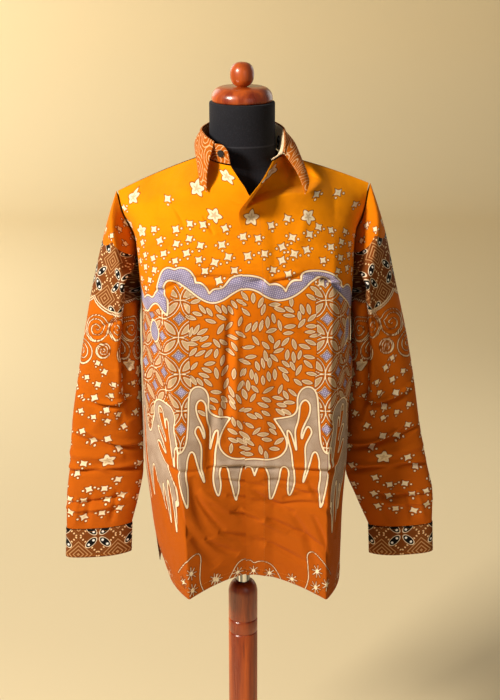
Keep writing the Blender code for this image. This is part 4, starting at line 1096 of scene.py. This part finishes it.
# start across, along | end across, along | depth | half width | bow (mm). Across is 0 on the
# front-facing line and grows towards the outside.
SLEEVE_CREASES = [
    (-33, 4, -38, 320, -27, 15, 0), (-6, 20, -12, 290, 5, 8, 0), (-26, 250, -46, 430, -13, 12, 3),
    (66, 370, -66, 382, -9, 4.5, -20), (66, 362, -66, 374, 6, 5, -20), (66, 452, -8, 480, -8, 4.5, 0),
    (34, 452, -66, 488, -9, 4.5, -9), (34, 444, -66, 480, 6, 5, -9), (66, 530, 2, 521, -9, 5, 0),
    (4, 521, -66, 530, -9, 5, 0), (66, 520, -66, 521, 6, 6, 0), (66, 492, -30, 500, 5, 9, 0),
    (-26, 280, -30, 400, -5, 8, 4), (-14, 290, -16, 380, 3, 8, 3), (-20, 390, -26, 450, -4, 9, 3),
    (14, 400, 20, 450, 3, 9, 2), (50, 246, -56, 214, -6, 4.5, 6), (60, 262, -10, 250, -4, 4, 3),
    (-66, 306, -20, 330, -7, 4.5, 3), (-62, 330, -24, 316, 4, 5, 2), (-20, 560, -16, 640, -4, 5, 2),
    (16, 566, 18, 640, -4, 5, -2), (38, 572, 36, 640, 3, 5, 1), (66, 586, -40, 574, -6, 4, -4),
    (60, 598, -30, 590, 5, 5, -4), (110, 300, 230, 332, 6, 10, 4), (110, 420, 230, 402, -7, 9, -4),
    (110, 500, 230, 520, -6, 8, 3), (-210, 300, -100, 334, -7, 10, 5), (-210, 440, -100, 420, -6, 9, 4),
    (150, 80, 160, 240, -6, 16, 6), (-150, 180, -140, 320, -5, 14, -6), (180, 200, 120, 280, 5, 14, 6),
]
SLEEVE_GROUND = [(0.0, (0.78, 0.21, 0.0)), (0.3, (0.58, 0.128, 0.001)), (1.0, (0.49, 0.098, 0.003))]
batik_sleeve = batik_material("batik_sleeve", SLEEVE_GROUND, 0.620)


def sleeve_grid(left, sides, rows):
    """Points of a sleeve, one ring to a row, from just outside the armhole to the cuff seam."""
    turn = np.linspace(0, 2 * np.pi, sides, endpoint=False)
    drops = ARMHOLE_DROP * (1 - np.cos(turn)) / 2
    share = np.full(sides, 1.0 if left else -1.0)
    front = body_surface(share, drops)
    armhole = np.where((turn <= np.pi)[:, None], front, body_surface(share, drops, back=True))
    off, below = SLEEVE_OFF
    rings = [armhole + np.array([off if left else -off, 0, below])]
    for ox, oz, ix, iz, y, depth in np.array(SLEEVE_SECTIONS["left" if left else "right"]) * MM:
        outer, inner = np.array([ox, y, oz]), np.array([ix, y, iz])
        across = np.sign(np.cos(turn)) * np.abs(np.cos(turn)) ** 0.85
        ring = inner + (outer - inner) * (1 + across)[:, None] / 2
        power = np.where((np.sin(turn) > 0) & (np.cos(turn) < 0), SLEEVE_HOLLOW, SLEEVE_SQUARE)
        ring[:, 1] -= depth * np.sign(np.sin(turn)) * np.abs(np.sin(turn)) ** power
        rings.append(ring)
    places = np.arange(len(rings))
    return smooth(np.linspace(0, places[-1], rows), places, np.array(rings))


SPIRALS = [(-62, 246, 25), (-8, 236, 24), (42, 240, 26), (92, 246, 24), (150, 240, 25), (200, 244, 24),
           (-110, 240, 24), (-160, 246, 24), (-34, 288, 22), (66, 292, 24), (118, 286, 22), (170, 290, 24),
           (-86, 292, 22), (-136, 288, 22), (20, 282, 15)]


def sleeve_print(u, t):
    """The distance fields of a sleeve, for places on its cut in metres."""
    rng = np.random.default_rng(5)
    border = 0.178 + 0.026 * np.abs(np.cos(np.pi * u / 0.125)) ** 0.8
    upper = 0.074 + 0.012 * np.abs(np.sin(np.pi * u / 0.05)) + 0.3 * np.clip(-0.045 - u, 0, 0.1)
    zone = np.maximum(upper - t, t - border)
    cream = np.minimum(line_field(t - border, 0.0019), line_field(t - border - 0.0060, 0.0013))
    for x, y, size in np.array(SPIRALS) * MM:
        dx, dy = u - x, t - y
        radius, turn = np.hypot(dx, dy), np.arctan2(dy, dx) / (2 * np.pi)
        pitch = size / 2.5
        arm = np.abs((radius / pitch - turn) % 1.0 - 0.5) * pitch
        spiral = np.maximum(0.5 * pitch - arm - 0.0009, radius - size)
        spiral = np.minimum(spiral, line_field(radius - size, 0.0009))
        cream = np.minimum(cream, np.maximum(spiral, border + 0.007 - t))

    def crowd(x, y):
        for low, share in ((0.555, 0.9), (0.425, 0.035), (0.355, 0.9), (0.285, 0.35), (0.0, 0.05)):
            if y > low:
                return share
    spots = scattered(rng, (-0.22, 0.01), (0.22, 0.615), 0.022, crowd)
    away = np.min([np.hypot(spots[:, 0] - x, spots[:, 1] - y) - size
                   for x, y, size in np.array(SPIRALS) * MM], axis=0)
    spots = spots[(away > 0.008) & ((spots[:, 1] < 0.07) | (spots[:, 1] > 0.22))]
    stars = [(x, y, 0.0074 if index % 14 == 0 else rng.uniform(0.0050, 0.0060), rng.uniform(-0.5, 0.5))
             for index, (x, y) in enumerate(spots)]
    cream = np.minimum(cream, np.where(zone > 0, star_field(u, t, stars), FAR))
    blank = np.full(u.shape, FAR)
    return {"cream": cream, "grain": blank, "grey": blank, "violet": 0 * u, "zone": zone}


wrists = {}
for side in ("right", "left"):
    left = side == "left"
    grid = sleeve_grid(left, SLEEVE_SIDES, SLEEVE_ROWS)
    around = cloth_distance(grid)
    u = (around[:, SLEEVE_SIDES // 4][:, None] - around) * PRINT_ROUND
    steps = np.linalg.norm(np.diff(grid, axis=0), axis=-1)
    height = np.concatenate([np.cumsum(steps[::-1], axis=0)[::-1], np.zeros((1, SLEEVE_SIDES))])
    t = height[0, 0] - height
    ends = np.linspace(0, SLEEVE_FADES, SLEEVE_ROWS)[:, None]
    ends = np.clip(np.minimum(ends, SLEEVE_FADES - ends), 0, 1)
    normal = outward(np.concatenate([grid, grid[:, :1]], axis=1))[:, :-1]
    middle = grid.mean(axis=1, keepdims=True)
    normal *= np.sign(np.sum(normal * (grid - middle), axis=-1, keepdims=True))
    grid = grid + normal * (creases(u, t, SLEEVE_CREASES) * ends)[..., None]
    wrists[side] = grid[-1]
    piece = add_cloth(f"sleeve_{side}_cloth", grid, u, t, sleeve_print(u, t), batik_sleeve, closed=True)
    place_piece(piece, f"sleeve_{side}")

# ---------------------------------------------------------------------------------------------
# The cuffs: interfaced bands of two layers in the hatched cloth with dark dotted petals.
# ---------------------------------------------------------------------------------------------
CUFF_HEIGHT, CUFF_LEAN, CUFF_WALL = 0.056, 0.003, 0.0022
CUFF_GROUND = [(0.0, (0.34, 0.10, 0.01)), (1.0, (0.34, 0.10, 0.01))]
batik_cuff = batik_material("batik_cuff", CUFF_GROUND, 0.1, "lattice")
for side in ("right", "left"):
    out = 1 if side == "left" else -1
    wrist = sleeve_grid(side == "left", SLEEVE_SIDES, 4)[-1]
    drops = np.linspace(0.0016, CUFF_HEIGHT + 0.0016, 28)
    grid = np.array([wrist + np.array([out * CUFF_LEAN * d / CUFF_HEIGHT, 0, -d]) for d in drops])
    around = cloth_distance(grid)
    u = around[:, SLEEVE_SIDES // 4][:, None] - around
    t = np.repeat(drops[:, None], SLEEVE_SIDES, axis=1)
    cuff = add_cloth(f"cuff_{side}_cloth", grid, u, t + LATTICE - 0.015, {}, batik_cuff, closed=True,
                     thickness=CUFF_WALL)
    away = grid - grid.mean(axis=1, keepdims=True)
    away /= np.linalg.norm(away, axis=-1, keepdims=True)
    proud = grid + away * (CUFF_WALL / 2 + THREAD_OUT)
    rows = [np.concatenate([proud[k], proud[k][:1]]) for k in (2, -3)]
    cuff_stitches = sew(f"cuff_{side}_stitches", rows)
    place_piece(cuff, f"cuff_{side}")

# ---------------------------------------------------------------------------------------------
# The collar: an interfaced stand round the open neck, with rounded ends, and a pointed leaf that
# folds over it and rests on the shoulders.
# ---------------------------------------------------------------------------------------------
STAND_FROM, STAND_TO, STAND_TIP = -17.5, -310.0, 13.0
# ring angle | fold x, y, z | where the outer edge lies on the body: share, drop, lift
LEAF_SECTIONS = np.array([
    [-41, -44, -71, 1453, -0.300, 46, 5],
    [-66, -59, -42, 1459, -0.345, 27, 5],
    [-95, -66, -8, 1464, -0.350, 0, 5],
    [-140, -44, 48, 1470, -0.230, -12, 5],
    [-180, 0, 69, 1474, 0.0, -15, 5],
    [-220, 45, 48, 1470, 0.240, -12, 5],
    [-265, 68, -8, 1464, 0.430, 0, 6],
    [-290, 69, -34, 1450, 0.445, 27, 7],
    [-302, 67, -50, 1434, 0.392, 48, 7],
])
LEAF_GROUND = [(0.0, (0.46, 0.105, 0.004)), (1.0, (0.56, 0.135, 0.003))]
STAND_HEIGHT, STAND_ROWS, STAND_LOW = 0.036, 20, 0.25  # its ends are this share of its height
STAND_GROUND = [(0.0, (0.48, 0.115, 0.006)), (1.0, (0.46, 0.105, 0.006))]
batik_leaf = batik_material("batik_leaf", LEAF_GROUND, 0.1, "loops")
batik_stand = batik_material("batik_stand", STAND_GROUND, 0.1, "loops", lattice_ground=CREAM)


def leaf_lines(angles):
    """The collar leaf's fold line and its outer edge, lifted off the shirt, for ring angles."""
    sections = LEAF_SECTIONS[::-1]
    values = smooth(angles, sections[:, 0], sections[:, 1:])
    fold, share, drop, lift = values[:, :3] * MM, values[:, 3], values[:, 4] * MM, values[:, 5] * MM
    step = 0.002
    reach = np.abs(drop)
    edge = np.where((drop < 0)[:, None], body_surface(share, reach, True), body_surface(share, reach))
    below = np.where((drop < 0)[:, None], body_surface(share, reach + step, True),
                     body_surface(share, reach + step))
    beside = np.where((drop < 0)[:, None], body_surface(share + step, reach, True),
                      body_surface(share + step, reach))
    normal = np.cross(beside - edge, below - edge)
    normal *= np.where(normal[:, 2:] < 0, -1, 1)
    normal /= np.linalg.norm(normal, axis=-1, keepdims=True)
    return fold, edge + normal * lift[:, None]


angles = np.linspace(STAND_FROM, STAND_TO, 180)
seam = neck_ring(angles) + np.array([0, 0, 0.0018])
inside = np.clip(angles, LEAF_SECTIONS[-1, 0], LEAF_SECTIONS[0, 0])
fold = leaf_lines(inside)[0]
fold[:, :2] += neck_ring(angles)[:, :2] - neck_ring(inside)[:, :2]
end = np.minimum(np.abs(angles - STAND_FROM), np.abs(angles - STAND_TO))
rounded = 1 - (1 - np.clip(end / STAND_TIP, 0, 1)) ** 2
height = STAND_LOW + (1 - STAND_LOW) * np.sqrt(rounded)
stand_grid = seam + (fold - seam) * height[:, None] * np.linspace(0, 1, STAND_ROWS)[:, None, None]
u = cloth_distance(stand_grid)
t = np.repeat(np.linspace(0, STAND_HEIGHT, STAND_ROWS)[:, None], len(angles), axis=1)
LATTICE_FROM = -215.0  # the lattice shows on the stand's left end only
zone = np.broadcast_to(np.clip((angles - LATTICE_FROM) * MM, -FAR, FAR), u.shape)
stand = add_cloth("stand_cloth", stand_grid, u, t, {"zone": zone}, batik_stand, thickness=0.0020)
place_piece(stand, "collar_stand")

angles = np.linspace(LEAF_SECTIONS[0, 0], LEAF_SECTIONS[-1, 0], 190)
fold, edge = leaf_lines(angles)
out = fold - np.array([0, NECKLINE_CENTRE_Y, 0])
out[:, 2] = 0
out /= np.linalg.norm(out, axis=-1, keepdims=True)
up = np.array([0, 0, 1.0])
rows = [fold + up * 0.0022, fold + out * 0.0014 + up * 0.0019, fold + out * 0.0026 + up * 0.0012,
        fold + out * 0.0036 - up * 0.0010, fold + out * 0.0042 - up * 0.0040]
start = rows[-1]
for share in np.linspace(0, 1, 34)[1:]:
    rows.append(start + (edge - start) * share + out * 0.006 * math.sin(math.pi * share))
leaf_grid = np.array(rows)
u = cloth_distance(leaf_grid)
steps = np.linalg.norm(np.diff(leaf_grid, axis=0), axis=-1)
t = np.concatenate([np.zeros((1, len(angles))), np.cumsum(steps, axis=0)])
leaf = add_cloth("leaf_cloth", leaf_grid, u, t, {"zone": np.full(u.shape, FAR)}, batik_leaf,
                 thickness=0.0014)
proud = leaf_grid + (out * 0.8 + up * 0.6)[None] * 0.0010
leaf_line = np.concatenate([proud[6:-4, 3], proud[-5, 3:-3], proud[6:-4, -4][::-1]])
leaf_stitches = sew("leaf_stitches", [leaf_line])
place_piece(leaf, "collar_leaf")

# ---------------------------------------------------------------------------------------------
# The buttons: glossy black, one on the stand's right end and one at the back of each cuff.
# ---------------------------------------------------------------------------------------------
button_black, shader, shade = new_material("button_black", 0.22, coat_weight=0.5, coat_roughness=0.1)
place = shade.node("ShaderNodeTexCoord", output=3)
swirl = shade.node("ShaderNodeTexNoise", None, {"Vector": place, "Scale": 300.0, "Detail": 3.0})
feed(shader, "Base Color", swirl.mix((0.010, 0.009, 0.009), (0.030, 0.026, 0.025)))
for node in ("collar_button", "cuff_button_right", "cuff_button_left"):
    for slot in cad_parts[node].material_slots:
        slot.material = button_black
